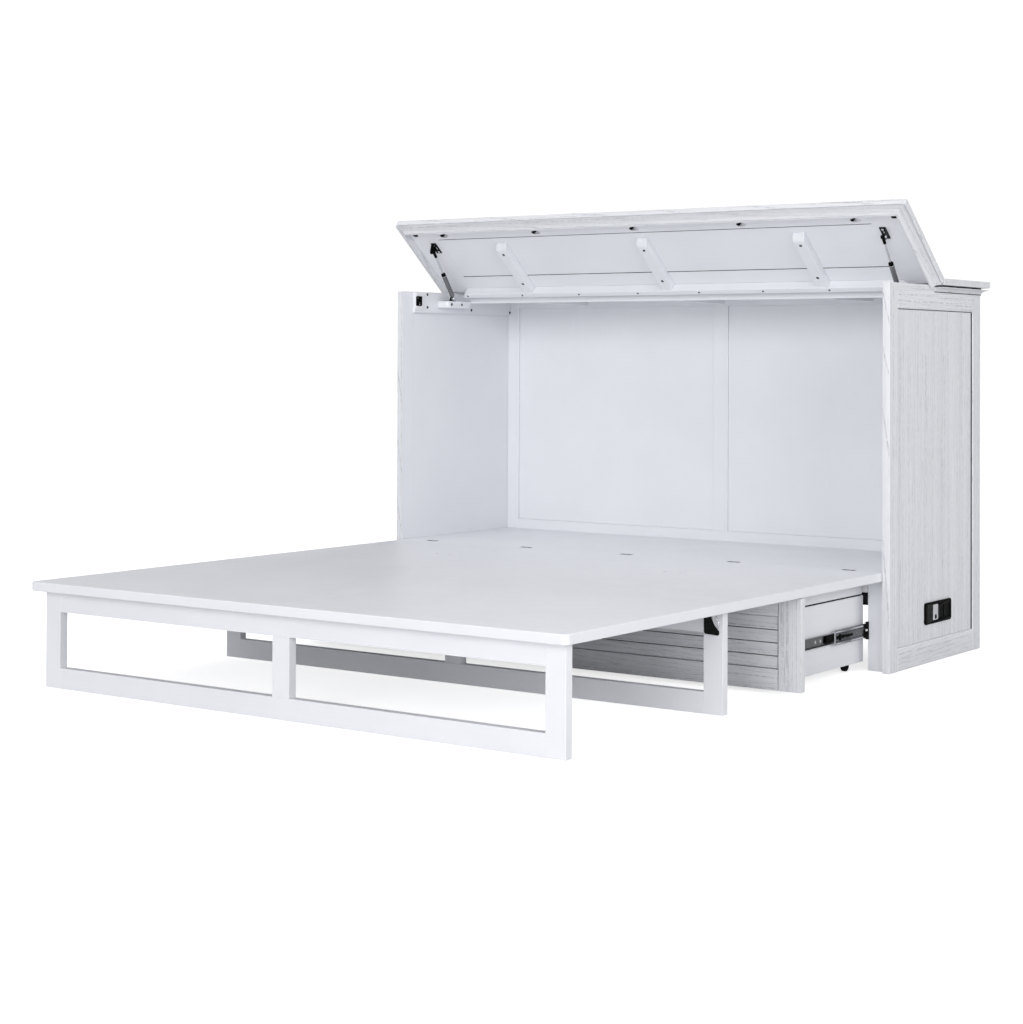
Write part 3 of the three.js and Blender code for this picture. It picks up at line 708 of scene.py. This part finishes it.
def latch(name, sign, face, front, top):
    """A touch latch on the cleat's front end: white case, black catch with a hooked jaw."""
    case = shape_slab((face, front + 1, top - 54), (face - sign * 4, front + 43.5, top - 1), 5)
    ease(case, 1.2, not_facing((sign, 0, 0)), segments=3)
    piece(f"{name}_latch_case", case, "cabinet", "white_plastic", smooth=40)

    middle = top - 27.5
    plate = shape_slab(
        (face - sign * 3.5, front + 1, middle - 15), (face - sign * 8, front + 27, middle + 15), 3,
    )
    ease(plate, 0.8, not_facing((sign, 0, 0)))
    catch = piece(f"{name}_latch_catch", plate, "cabinet", "black_plastic")
    for y0, y1, z0, z1 in ((4, 11, 3, 12), (12, 21, -12, -4)):
        a, b = (face - 20, front + y0, middle + z0), (face + 20, front + y1, middle + z1)
        cut_away(catch, shape_slab(a, b, 2))

    turns = [radians(65 + 230 * k / 14) for k in range(15)]
    arc = [(front + 9 + 6.5 * cos(t), middle + 7.5 * sin(t)) for t in turns]
    jaw = shape_prism(strip(arc, 3), X, face - sign * 7.5, face - sign * 11)
    ease(jaw, 0.4)
    heads = [
        screw_shape((face - sign * 8, front + 22, middle + up), (-sign, 0, 0), 2) for up in (-10, 10)
    ]
    piece(f"{name}_latch_jaw", join_shapes(jaw, *heads), "cabinet", "black_plastic")


def lower_carcass():
    eased_node("deck", "cabinet", "painted_wood", X, 0.6)
    for name, _ in SIDES:
        eased_node(f"{name}_bearer", "cabinet", "painted_wood", Z, 1.5)


def outlet():
    """A black power plate: a light rocker beside two sockets, on a bevelled face."""
    low, high = box("outlet_plate")
    face, centre = high.x, (low.z + high.z) / 2

    def slab(back, proud, y0, y1, half, corner):
        """A slab about the plate's mid height, from a depth behind its face to one before it."""
        a, b = (face - back, low.y + y0, centre - half), (face + proud, low.y + y1, centre + half)
        return shape_slab(a, b, corner)

    bm = shape_slab(low, high, 8)
    bmesh.ops.dissolve_limit(bm, angle_limit=radians(1), verts=bm.verts, edges=bm.edges)
    ease(bm, 1.2, segments=3)
    plate = piece(
        "outlet_face", bm, "cabinet", "black_plastic", stands_for="outlet_plate", smooth=40,
    )
    cut_away(plate, slab(2.2, 1, 50, 87, 23, 4))
    for along in (108, 146):
        y = low.y + along
        cut_away(plate, slab(0.9, 1, along - 15, along + 15, 17, 6))
        for side, tall in ((-6, 4.5), (6, 3.6)):
            a = (face - 3.6, y + side - 1.1, centre + 3 - tall)
            cut_away(plate, shape_box(a, (face, y + side + 1.1, centre + 3 + tall)))
        cut_away(plate, shape_turned([(2.4, -3.6), (2.4, 0)], X, (face, y, centre - 9), 20))

    rocker = ease(slab(2.2, -0.2, 52, 85, 21, 3), 0.6)
    bars = [
        shape_box((face - 0.4, low.y + 56, centre + up), (face + 0.2, low.y + 81, centre + up + 1.2))
        for up in range(4, 19, 3)
    ]
    shapes = join_shapes(rocker, *bars)
    piece("outlet_rocker", shapes, "cabinet", "grey_plastic", slot="black_plastic", smooth=30)
    at = (face - 0.2, low.y + 68.5, centre - 12)
    button = shape_turned([(6.5, -1), (6.5, 0.1), (5.7, 0.6)], X, at, 32)
    piece("outlet_button", button, "cabinet", "black_plastic", smooth=30)


# ---- lid ----


def lid_boards():
    """Front and rear boards, two ends and a field between seams that show dark from below, by a strip
    of painted shade at the bottom of each.
    """
    low, high = box("lid_board", "lid")
    seam, end = 3.0, 730
    front_seam, rear_seam = low.y + 75, low.y + 247
    field = (front_seam + seam / 2, rear_seam - seam / 2)
    ends = (front_seam - seam / 2, rear_seam + seam / 2)
    layout = (
        ("lid_front_board", (low.x, high.x), (low.y, ends[0]), X),
        ("lid_rear_board", (low.x, high.x), (ends[1], high.y), X),
        ("lid_field", (-end, end), field, X),
        ("lid_left_end", (low.x, -end), ends, Y),
        ("lid_right_end", (end, high.x), ends, Y),
    )
    boards = {}
    for name, x, y, along in layout:
        bm = shape_box((x[0], y[0], low.z), (x[1], y[1], high.z))
        if name == "lid_front_board":
            ease(bm, 2.0, lambda e: all(v.co.y < low.y + 1 for v in e.verts), segments=1)
        else:
            ease(bm, 1.2 if along == X else 0.3, not_facing((0, 0, 1)))
        boards[name] = piece(name, bm, "lid", "limed_wood", along, stands_for="lid_board")
    for name, start in (("front", field[0] - seam), ("rear", field[1])):
        tongue = shape_box((-end, start, low.z + 9), (end, start + seam, high.z - 0.3))
        piece(f"lid_{name}_tongue", tongue, "lid", "limed_wood", X)
        # painted shade: a near-black strip fills the seam under the tongue
        shade_strip = shape_box((-end, start, low.z + 0.7), (end, start + seam, low.z + 9))
        piece(f"lid_{name}_seam", shade_strip, "lid", "dark_gap", X)

    # pocket-screw holes, drilled along the front board at a low angle
    tilt = Matrix.Rotation(radians(30), 4, "Y")
    heads = []
    hole_places = (-698, -355, -12, 340, 688)
    for x in hole_places:
        seat = Matrix.Translation((x, low.y + 58, low.z + 1)) @ tilt
        drill = shape_turned([(8.2, -15), (8.2, 30)], sides=32)
        head = shape_turned([(7.6, -15), (7.6, -9), (3, -7)], sides=24)
        drill.transform(seat)
        head.transform(seat)
        heads.append(head)
        cut_away(boards["lid_front_board"], drill)
    piece("lid_pocket_screws", join_shapes(*heads), "lid", "black_steel", smooth=40)
    for obj in boards.values():
        paint_faces(obj, (0, 0, -1), "painted_wood")


def lid_crown():
    """Three mitred lengths round the lid's front and ends."""
    low, high = box("lid_moulding", "lid")
    inner_x, inner_y = high.x - 26, low.y + 26
    corners = {name: (sign * inner_x, inner_y, sign, -1) for name, sign in SIDES}
    crown("lid_front_crown", list(corners.values()), low.z, "lid", "lid_moulding", X)
    for name, sign in SIDES:
        path = [(sign * inner_x, high.y, sign, 0), corners[name]]
        crown(f"lid_{name}_crown", path, low.z, "lid", "lid_moulding", Y)


def lid_fittings():
    """What is screwed to the lid's underside: rear rail, battens, pads and strut brackets."""
    low, _ = box("lid_board", "lid")
    down = (0, 0, -1)
    eased_node("lid_rear_rail", "lid", "painted_wood", X, 1.2)
    a, _ = box("lid_rear_rail", "lid")
    points = [(x, a.y + 8.7, a.z) for x in range(-735, 736, 210)]
    screws("lid_rear_rail_screws", points, down, "lid", radius=2.6)
    for part in ("left", "middle", "right"):
        node = f"lid_{part}_batten"
        a, b = box(node, "lid")
        depth = b.z - a.z
        nose = [(a.y + 20 * (1 - sin(t)), b.z - depth * cos(t)) for t in quarter(8)]
        bm = ease(shape_prism([(b.y, b.z), (b.y, a.z), *nose], X, a.x, b.x), 1.5)
        piece(f"{node}_wood", bm, "lid", "painted_wood", Y, stands_for=node)
        points = [((a.x + b.x) / 2, low.y + along, a.z) for along in (128, 262)]
        screws(f"{node}_screws", points, down, "lid", radius=3.6)
    pad_place = (804, low.y + 50)
    for name, sign in SIDES:
        x, y = sign * pad_place[0], pad_place[1]
        pad = shape_slab((x - 9, y - 7, low.z - 0.2), (x + 9, y + 7, low.z + 1), 5, Z)
        ease(pad, 0.15, not_facing((0, 0, 1)))
        piece(f"{name}_lid_pad", pad, "lid", "caster_rubber", smooth=40)
        lid_bracket(name, sign)


def lid_bracket(name, sign):
    """The strut's upper bracket: a slotted angle with screws and a ball stud."""
    node = f"{name}_lid_bracket"
    plate = eased_node(node, "lid", "black_steel", X, 0.4, suffix="steel")
    low, high = box(node, "lid")
    x = faces(low, high, sign)[0] + sign * 8
    slot = shape_slab((x - 2.6, low.y + 14, high.z - 6), (x + 2.6, low.y + 31, high.z + 1), 2.4, Z)
    cut_away(plate, slot)
    points = [(x, low.y + along, high.z - 2.5) for along in (7.5, 38)]
    screws(f"{node}_screws", points, (0, 0, -1), "lid", "bright_rod", 3.4)
    stud = shape_turned([(2.6, -1), (2.6, 7.2), (5, 7.2), (4.4, 9.4)], sides=24)
    tab_x = sign * 757
    set_outward(stud, (tab_x, low.y + 19, low.z + 8), sign)
    piece(f"{node}_stud", stud, "lid", "bright_rod", smooth=35)


# ---- gas struts ----


def struts():
    """Each strut along Y of its own space, from the lower pivot at the origin."""
    for name, sign in SIDES:
        barrel, rod = f"{name}_strut_barrel", f"{name}_strut_rod"
        length = box(barrel, barrel)[1].y
        low, high = box(rod, rod)
        collar, cap, end = length - 12, length - 10, high.y - 6
        tube = [(4, 4), (4, 9), (6.2, 9), (7, 10.5), (7, 20), (6.5, 20.7), (7, 21.4), (7, collar)]
        ring = [(6.6, collar), (6.9, collar + 1), (6.6, cap)]
        seal = [
            (6.7, cap), (7, cap + 0.6), (7, length - 2.5), (5.4, length), (3.3, length),
            (3.3, length - 4),
        ]
        bare_rod = [(2.6, low.y), (3, low.y + 1), (3, end - 14)]
        shank = shape_turned([(3.6, end - 22), (4.4, end - 20), (4.4, end - 4)], Y, sides=32)
        parts = (
            ("tube", barrel, "strut_steel", shape_turned(tube, Y, sides=48), barrel),
            ("eye", barrel, "bright_rod", ball_socket(0), None),
            ("ring", barrel, "bright_rod", shape_turned(ring, Y, sides=48), None),
            ("cap", barrel, "black_plastic", shape_turned(seal, Y, sides=48), None),
            ("piston", rod, "bright_rod", shape_turned(bare_rod, Y), rod),
            ("end", rod, "black_plastic", join_shapes(shank, ball_socket(end)), None),
        )
        for part, body, material, bm, node in parts:
            piece(
                f"{name}_strut_{part}", bm, body, material, stands_for=node, slot="strut_steel",
                smooth=35,
            )
        strut_base(name, sign)


def ball_socket(along):
    """The round socket at each end of a strut, turned about X."""
    return shape_turned([(4.4, -5), (6, -3.6), (6, 3.6), (4.4, 5)], X, (0, along, 0), 36)


def strut_base(name, sign):
    """The black base plate on its block, with an ear and a stud into the socket."""
    low, high = box(f"{name}_strut_block")
    pivot = pivot_of(f"{name}_strut_swing")
    inner, top = faces(low, high, sign)[0], high.z
    plate = shape_box(
        (inner + sign * 14.5, pivot.y - 20, top), (inner + sign * 36, pivot.y + 24, top + 1.6),
    )
    ease(plate, 0.5)
    turns = [pi * k / 12 for k in range(13)]
    crest = [(pivot.y + 7 * cos(t), pivot.z + 7 * sin(t)) for t in turns]
    outline = [(pivot.y + 12, top + 1), *crest, (pivot.y - 12, top + 1)]
    ear = shape_prism(outline, X, pivot.x + sign * 7.6, pivot.x + sign * 9.8)
    ease(ear, 0.3)
    at = (pivot.x + sign * 6.4, pivot.y, pivot.z)
    stud = shape_turned([(3.4, -1.4), (3.4, 1.4)], X, at, 24)
    heads = [
        screw_shape((inner + sign * 27, pivot.y + along, top + 1.6), (0, 0, 1), 3)
        for along in (-12, 15)
    ]
    piece(f"{name}_strut_base", join_shapes(plate, ear, stud, *heads), "cabinet", "black_steel")


# ---- platform ----


def platform():
    """The boards of the middle and foot panels: outer edges rounded, seams just eased."""
    half = box("middle_board")[1].x
    front = box("foot_front_rail")[0].y

    def outer(edge):
        """Whether a level edge lies on the platform's own outline."""
        middle = (edge.verts[0].co + edge.verts[1].co) / 2
        level = abs(edge.verts[0].co.z - edge.verts[1].co.z) < 0.01
        wall = any(f.normal.y < -0.1 or abs(f.normal.x) > 0.1 for f in edge.link_faces)
        return level and wall and (abs(abs(middle.x) - half) < 0.01 or middle.y < front + 15.5)

    for node in (
        "middle_rear_rail", "middle_board", "middle_front_rail", "foot_rear_rail",
        "foot_left_board", "foot_right_board", "foot_front_rail",
    ):
        bm = ease(shape_of_node(node), 2.6, outer, segments=4)
        ease(bm, 0.35, segments=1, sharper_than=60)
        body = "middle_panel" if node.startswith("middle") else "foot_panel"
        piece(f"{node}_wood", bm, body, "painted_wood", X, stands_for=node)


def leg_frame(node, body):
    """Stiles and rails of one leg frame."""
    low, high = box(node)
    stock = 51
    upright_boards(node, node, body, "painted_wood", 0.9, (
        ("left_stile", (low.x, low.x + stock), (low.z, high.z), Z),
        ("right_stile", (high.x - stock, high.x), (low.z, high.z), Z),
        ("centre_stile", (-stock / 2, stock / 2), (low.z + stock, high.z - stock), Z),
        ("bottom_rail", (low.x + stock, high.x - stock), (low.z, low.z + stock), X),
        ("top_rail", (low.x + stock, high.x - stock), (high.z - stock, high.z), X),
    ))


def leg_bracket(node, body, outward, hinge):
    """A folding bracket: lobed plate on the stile, bright sprung arm, seat plate under the panel."""
    low, high = box(node)
    right = low.x > 0

    def place(x, z):
        """A point of the plate, from its inner lower corner."""
        return (low.x + x if right else high.x - x, low.z + z)

    edge = (
        (0, 53), (0, 12), (1.2, 7.5), (4, 6), (36, 4), (39, 5.5), (40, 9), (39.6, 14),
        (34, 20), (28, 26.5), (24, 33), (20.5, 41), (18, 53),
    )
    plate = ease(shape_prism([place(*p) for p in edge], Y, low.y, high.y), 0.5)
    front = high.y if outward > 0 else low.y
    rivets = [
        screw_shape((x, front, z), (0, outward, 0), 2.6)
        for x, z in (place(8, 44), place(8, 15), place(32, 11))
    ]
    shapes = join_shapes(plate, *rivets)
    piece(f"{node}_steel", shapes, body, "black_steel", stands_for=node)

    path = [place(*p) for p in ((22, 53), (28, 50), (34, 44), (37.5, 36), (38.4, 27), (37, 18))]
    arm = ease(shape_prism(strip(path, 3.4), Y, low.y, high.y), 0.5)
    piece(f"{node}_arm", arm, body, "bright_rod")

    under = box("foot_front_rail")[0].z
    near = hinge.y + outward * 2
    a, b = (low.x - 12, high.x) if right else (low.x, high.x + 12)
    seat = shape_box((a, near, under - 2.6), (b, near + outward * 62, under - 0.3))
    ease(seat, 0.7)
    corners = ((0, 1), (0, 7), (10, 7), (38, 1))
    outline = [(near + outward * along, under - down) for along, down in corners]
    web = shape_prism(outline, X, place(-3.2, 0)[0], place(-0.7, 0)[0])
    piece(f"{node}_seat", join_shapes(seat, web), "foot_panel", "black_steel")


def leg_frames():
    for place, outward in (("front", 1), ("middle", -1)):
        body = f"{place}_legs"
        leg_frame(f"{place}_leg_frame", body)
        hinge = pivot_of(f"{place}_leg_fold")
        for side, _ in SIDES:
            leg_bracket(f"{place}_leg_{side}_bracket", body, outward, hinge)


def deck_hinges():
    """Flush hinges along the seam between deck and middle panel: two leaves with screws."""
    pivot = pivot_of("middle_fold")
    leaves = (("deck", "cabinet", 0.5, 9.0), ("panel", "middle_panel", -9.0, -0.4))
    for index, x in enumerate((-696, -348, 0, 348, 696)):
        for side, body, near, far in leaves:
            a = (x - 19, pivot.y + near, pivot.z - 0.8)
            b = (x + 19, pivot.y + far, pivot.z + 0.25)
            leaf = ease(shape_box(a, b), 0.1)
            heads = [
                screw_shape((x + dx, (a[1] + b[1]) / 2, pivot.z + 0.2), (0, 0, 1), 1.5)
                for dx in (-12, 12)
            ]
            piece(f"deck_hinge_{index}_{side}", join_shapes(leaf, *heads), body, "black_steel")


def plugs():
    """Filled screw holes in the middle panel, from the front edge of its board."""
    low, high = box("middle_board")
    profile = [(4.5, -1), (4.5, 0.12), (4.1, 0.2)]
    shapes = [
        shape_turned(profile, Z, (x, low.y + along, high.z), 24)
        for x, along in ((-438, 297), (-391, 297), (328, 278), (379, 270))
    ]
    piece("panel_plugs", join_shapes(*shapes), "middle_panel", "grey_plastic", slot="painted_wood")


# ---- drawer ----


def drawer_front():
    """A frame with a bead, round four lapped planks on a backing whose front is painted shade, with
    painted shade strips beside the stiles.
    """
    low, high = box("drawer_front_frame")
    node = "drawer_front_planks"
    plank_low, plank_high = box(node)
    gap, line, bead = PANEL_GAP, 1.6, 8
    a, b = plank_low.x - gap, plank_high.x + gap
    foot, head = plank_low.z - gap, plank_high.z + gap
    upright_boards("drawer", "drawer_front_frame", "drawer", "limed_wood", 1.2, (
        ("left_stile", (low.x, a - line), (low.z, high.z), Z),
        ("right_stile", (b + line, high.x), (low.z, high.z), Z),
        ("bottom_rail", (a, b), (low.z, foot), X),
        ("bead", (a, b), (head, head + bead), X),
        ("top_rail", (a, b), (head + bead, high.z), X),
    ))
    step = plank_low.y + 6
    seams = [plank_low.z, *(low.z + up for up in (84, 116, 148)), plank_high.z]
    for index, (start, end) in enumerate(zip(seams, seams[1:])):
        bm = shape_box(
            (plank_low.x + 1, plank_low.y, start + 1.1), (plank_high.x - 1, step, end - 1.1),
        )
        ease(bm, 1.8, lambda e: all(f.normal.y < 0.5 and abs(f.normal.x) < 0.5 for f in e.link_faces))
        piece(f"drawer_plank_{index}", bm, "drawer", "limed_wood", X, stands_for=node)
    back = board(
        "drawer_plank_backing", (plank_low.x, step, plank_low.z), plank_high, "drawer",
        "painted_wood", X, 0.4, stands_for=node,
    )
    # painted shade: the backing's front face, seen through the plank gaps, is near black
    paint_faces(back, (0, -1, 0), "dark_gap")
    # painted shade: near-black strips in the gaps between the stiles and the planks
    for name, x0, x1 in (("left", a - line, a), ("right", b, b + line)):
        shade_strip = shape_box((x0, low.y + 1.6, low.z + 1), (x1, high.y - 1, high.z - 1))
        piece(f"drawer_{name}_joint", shade_strip, "drawer", "dark_gap", Z)


def drawer_box():
    """Two-board sides with a tongue between the boards that is painted shade, the back and the bottom.
    """
    for name, sign in SIDES:
        node = f"drawer_{name}_side"
        low, high = box(node)
        seam = low.z + 175
        for part, a, b in (
            ("board", low, (high.x, high.y, seam)),
            ("strip", (low.x, low.y, seam + 4), (high.x, high.y - 8, high.z)),
        ):
            board(f"{node}_{part}", a, b, "drawer", "painted_wood", Y, 1.0, stands_for=node)
        outer = faces(low, high, sign)[1]
        # painted shade: the tongue in the gap between the boards is near black
        tongue = shape_box(
            (outer - sign * 9, low.y + 1, seam - 6), (outer - sign * 1.2, high.y - 9, seam + 8),
        )
        piece(f"{node}_tongue", tongue, "drawer", "dark_gap", Y, slot="painted_wood")
        drawer_stop(name, sign, outer, high.y, low.z)
    eased_node("drawer_back", "drawer", "painted_wood", X, 1.0)
    eased_node("drawer_bottom", "drawer", "painted_wood", X, 0.5)


def drawer_stop(name, sign, outer, rear, foot):
    """The black rubber stop behind the drawer side, with its white shim above."""
    x0, x1 = outer - sign * 6, outer + sign * 12.5
    block = shape_box((x0, rear, foot + 149), (x1, rear + 11, foot + 182))
    ease(block, 2, segments=3)
    piece(f"{name}_drawer_stop", block, "drawer", "caster_rubber", smooth=40)
    shim = ease(shape_box((x0, rear, foot + 182.5), (x1, rear + 7, foot + 203)), 1.5)
    piece(f"{name}_drawer_shim", shim, "drawer", "white_plastic")


def slides():
    for name, sign in SIDES:
        for part, body in (("outer", "cabinet"), ("inner", "drawer")):
            eased_node(f"{name}_slide_{part}", body, "zinc_steel", Y, 0.35, suffix="steel")
        slide_middle(name, sign)
        slide_fittings(name, sign)


def slide_middle(name, sign):
    """The rolled middle member, its lock lever and the bright retainer across its front end."""
    node = body = f"{name}_slide_middle"
    low, high = box(node)
    outer = faces(low, high, sign)[1]
    middle = (low.z + high.z) / 2
    web = 2.3

    def at(depth):
        """The x of a depth behind the outer face."""
        return outer - sign * depth

    upper = ((2.8, 9), (2.4, 10.6), (1.0, 12.4), (0.6, 15), (1.4, 17.4), (3.9, 18.4), (7.2, 18.3))
    path = [(at(d), middle - u) for d, u in upper[::-1]] + [(at(d), middle + u) for d, u in upper]
    member = shape_prism(strip(path, 1.1), Y, low.y, high.y)
    piece(f"{node}_steel", member, body, "zinc_steel", Y, stands_for=node, smooth=40)

    def on_web(y0, y1, half, proud, corner):
        """A flat piece lying on the member's web, rounded at its corners."""
        a = (at(web), low.y + y0, middle - half)
        return shape_slab(a, (at(web - proud), low.y + y1, middle + half), corner)

    # a painted highlight line where the balls run, and a painted shade line beside it, above and below
    lines = (("race", "bright_rod", 15, 1.2, 0), ("valley", "dark_gap", 11.3, 3.2, 1.9))
    for tag, material, up, deep, shallow in lines:
        bars = [
            shape_box((at(deep), low.y + 6, z - 1.8), (at(shallow), high.y - 6, z + 1.8))
            for z in (middle - up, middle + up)
        ]
        piece(f"{node}_{tag}", join_shapes(*bars), body, material, slot="zinc_steel")
    boss = shape_turned([(8, 0), (8, 1.6), (5, 2)], sides=32)
    set_outward(boss, (at(web), low.y + 36, middle), sign)
    lever = join_shapes(on_web(14, 60, 4.5, 0.9, 4), on_web(62, 110, 3, 0.7, 2.5), boss)
    piece(f"{name}_slide_lever", lever, body, "black_plastic", smooth=40)
    front = shape_slab(
        (at(0.05), low.y - 1.2, middle - 18.6), (at(8.2), low.y, middle + 18.6), 2, Y,
    )
    retainer = join_shapes(front, on_web(0, 4, 17, 2.2, 1.5))
    piece(f"{name}_slide_retainer", retainer, body, "bright_rod", smooth=40)


def slide_fittings(name, sign):
    """Screws and clip of the inner member, stops and retainer balls of the outer one."""
    low, high = box(f"{name}_slide_inner")
    web = faces(low, high, sign)[0] + sign * 1.6
    middle = (low.z + high.z) / 2
    points = [(web, low.y + along, middle) for along in (40, 95, 173, 201)]
    screws(f"{name}_slide_inner_screws", points, (sign, 0, 0), "drawer", "bright_rod", 3.6)
    a, b = (web, low.y + 224, middle - 10), (web + sign * 5.2, low.y + 262, middle + 10)
    piece(f"{name}_slide_clip", ease(shape_slab(a, b, 3), 0.8), "drawer", "black_plastic")

    low, high = box(f"{name}_slide_outer")
    outer = faces(low, high, sign)[1]
    a, b = outer - sign * 1.8, outer + sign * 4
    spans = ((low.z + 1, low.z + 14), (high.z - 12, high.z + 2))
    stops = [ease(shape_box((a, low.y - 12.5, z0), (b, low.y - 1, z1)), 1.6) for z0, z1 in spans]
    arm = shape_box((a, low.y - 4, low.z + 1), (b, low.y - 2.2, high.z + 2))
    piece(f"{name}_slide_stops", join_shapes(arm, *stops), "cabinet", "caster_rubber")
    balls = []
    for along in (-9.2, -3.2):
        dome = shape_turned([(3, -1.6), (3, -0.4), (2.1, 0.9), (0, 1.4)], sides=28)
        at = (outer, low.y + along, (low.z + high.z) / 2 + 2.5)
        balls.append(set_outward(dome, at, sign))
    shapes = join_shapes(*balls)
    piece(f"{name}_slide_balls", shapes, "cabinet", "white_plastic", smooth=50)


def casters():
    """Steel forks, and rubber wheels with a hub and a groove on each face."""
    half_width = 6.5
    # radius, and depth behind the wheel's face, from the hub out to the tread
    face = (
        (4, 1.2), (4.6, 0.4), (8, 0.4), (8.6, 1.6), (10.4, 1.6), (11, 0), (12.6, 0),
        (13.6, 1.2), (14, 3),
    )
    profile = [(r, d - half_width) for r, d in face] + [(r, half_width - d) for r, d in face[::-1]]
    for name, _ in SIDES:
        fork = f"{name}_caster_fork"
        bm = ease(shape_of_node(fork), 0.4)
        piece(f"{name}_caster_frame", bm, "drawer", "black_steel", stands_for=fork)
        tyre = shape_turned(profile, X, pivot_of(f"{name}_wheel_spin"), 48)
        piece(
            f"{name}_caster_tyre", tyre, f"{name}_wheel", "caster_rubber",
            stands_for=f"{name}_caster_wheel", smooth=30,
        )


def settle():
    """Moves each slanted piece's place into its mesh, so that its box lies square to the frame."""
    for obj in SLANTED:
        obj.data.transform(obj.matrix_world)
        obj.matrix_world = Matrix.Identity(4)


# ---- studio ----


WHITE = (1.0, 1.0, 1.0, 1.0)


def backdrop():
    """A soft cool world light, and plain white behind the object for the camera."""
    world = bpy.data.worlds.new("studio")
    bpy.context.scene.world = world
    world.use_nodes = True
    tree = world.node_tree
    background = tree.nodes["Background"]
    background.inputs["Color"].default_value = (0.98, 0.985, 1.0, 1.0)
    background.inputs["Strength"].default_value = 0.33
    seen = tree.nodes.new("ShaderNodeBackground")
    seen.inputs["Color"].default_value = WHITE
    seen.inputs["Strength"].default_value = 1.05
    path = tree.nodes.new("ShaderNodeLightPath")
    mix = tree.nodes.new("ShaderNodeMixShader")
    tree.links.new(path.outputs["Is Camera Ray"], mix.inputs[0])
    tree.links.new(background.outputs[0], mix.inputs[1])
    tree.links.new(seen.outputs[0], mix.inputs[2])
    tree.links.new(mix.outputs[0], tree.nodes["World Output"].inputs["Surface"])


def studio_floor():
    """A pale floor just below the object."""
    bpy.ops.mesh.primitive_plane_add(size=60, location=(0, 0, -0.0004))
    floor = bpy.context.object
    floor.name = "floor"
    n = Nodes("studio_floor")
    place = n.object_place()
    tone = n.remap(n.noise(place, 3.0), 0.3, 0.7)
    n.surface(Base_Color=n.mix(tone, grey(0.72, 0.01), grey(0.75, 0.01)), Roughness=0.9)
    n.shader.inputs["Specular IOR Level"].default_value = 0.1
    # the sweep glows a little, and more far out, so that it meets the backdrop without a line
    distance = n.add("VectorMath", place, operation="LENGTH").outputs["Value"]
    glow = n.remap(distance, 2.0, 8.0, 0.72, 1.05)
    seen = n.add("LightPath").outputs["Is Camera Ray"]
    n.feed(n.shader.inputs["Emission Color"], WHITE)
    n.feed(n.shader.inputs["Emission Strength"], n.times(glow, seen))
    floor.data.materials.append(n.material)


def lights():
    """Square lights, each from its place toward a target, with its side and power."""
    for light in (
        ("key", (3.2, -12.0, 4.4), (0, 0, 0.5), 4.6, 475),
        ("low_fill", (1.0, -11.0, 1.6), (0, 0, 0.6), 4.6, 100),
        ("drawer_fill", (2.2, -4.0, 0.35), (0.3, -0.4, 0.12), 1.0, 23),
        ("front_fill", (5.5, -3.5, 2.2), (0, 0.5, 0.5), 2.6, 84),
        ("side_fill", (6.0, 0.6, 2.6), (0.8, 0.6, 0.5), 2.6, 78),
        ("rear_fill", (-1.2, 6.0, 5.4), (0, 0.9, 0.6), 3.2, 150),
        ("overhead", (-1.5, -1.5, 5.2), (0, 0, 0.3), 3.0, 80),
    ):
        area_light(*light)


def area_light(name, place, target, size, power):
    light = bpy.data.lights.new(name, "AREA")
    light.shape = "SQUARE"
    light.size = size
    light.energy = power
    obj = place_object(name, light)
    obj.location = place
    obj.rotation_euler = (Vector(target) - Vector(place)).to_track_quat("-Z", "Y").to_euler()
    obj.visible_camera = False


def camera():
    """A long lens, near level and from the front right; its shift sets the framing."""
    yaw, pitch, roll = (radians(a) for a in (35.581, 0.942, 0.257))
    data = bpy.data.cameras.new("camera")
    data.sensor_width = 36.0
    data.lens = 71.70
    data.shift_x = 0.01265
    data.shift_y = -0.1844
    data.clip_end = 200.0
    obj = place_object("camera", data)
    obj.location = (3.0968, -4.5006, 0.8259)
    turn = Matrix.Rotation(yaw, 4, "Z") @ Matrix.Rotation(pi / 2 + pitch, 4, "X")
    obj.rotation_euler = (turn @ Matrix.Rotation(roll, 4, "Z")).to_euler()
    bpy.context.scene.camera = obj


# ---- the whole ----

cabinet_sides()
cabinet_back()
cabinet_top()
top_rail()
cleats_and_latches()
lower_carcass()
outlet()
lid_boards()
lid_crown()
lid_fittings()
struts()
platform()
leg_frames()
deck_hinges()
plugs()
drawer_front()
drawer_box()
slides()
casters()
settle()
backdrop()
studio_floor()
lights()
camera()
bpy.context.scene.view_settings.view_transform = "Standard"
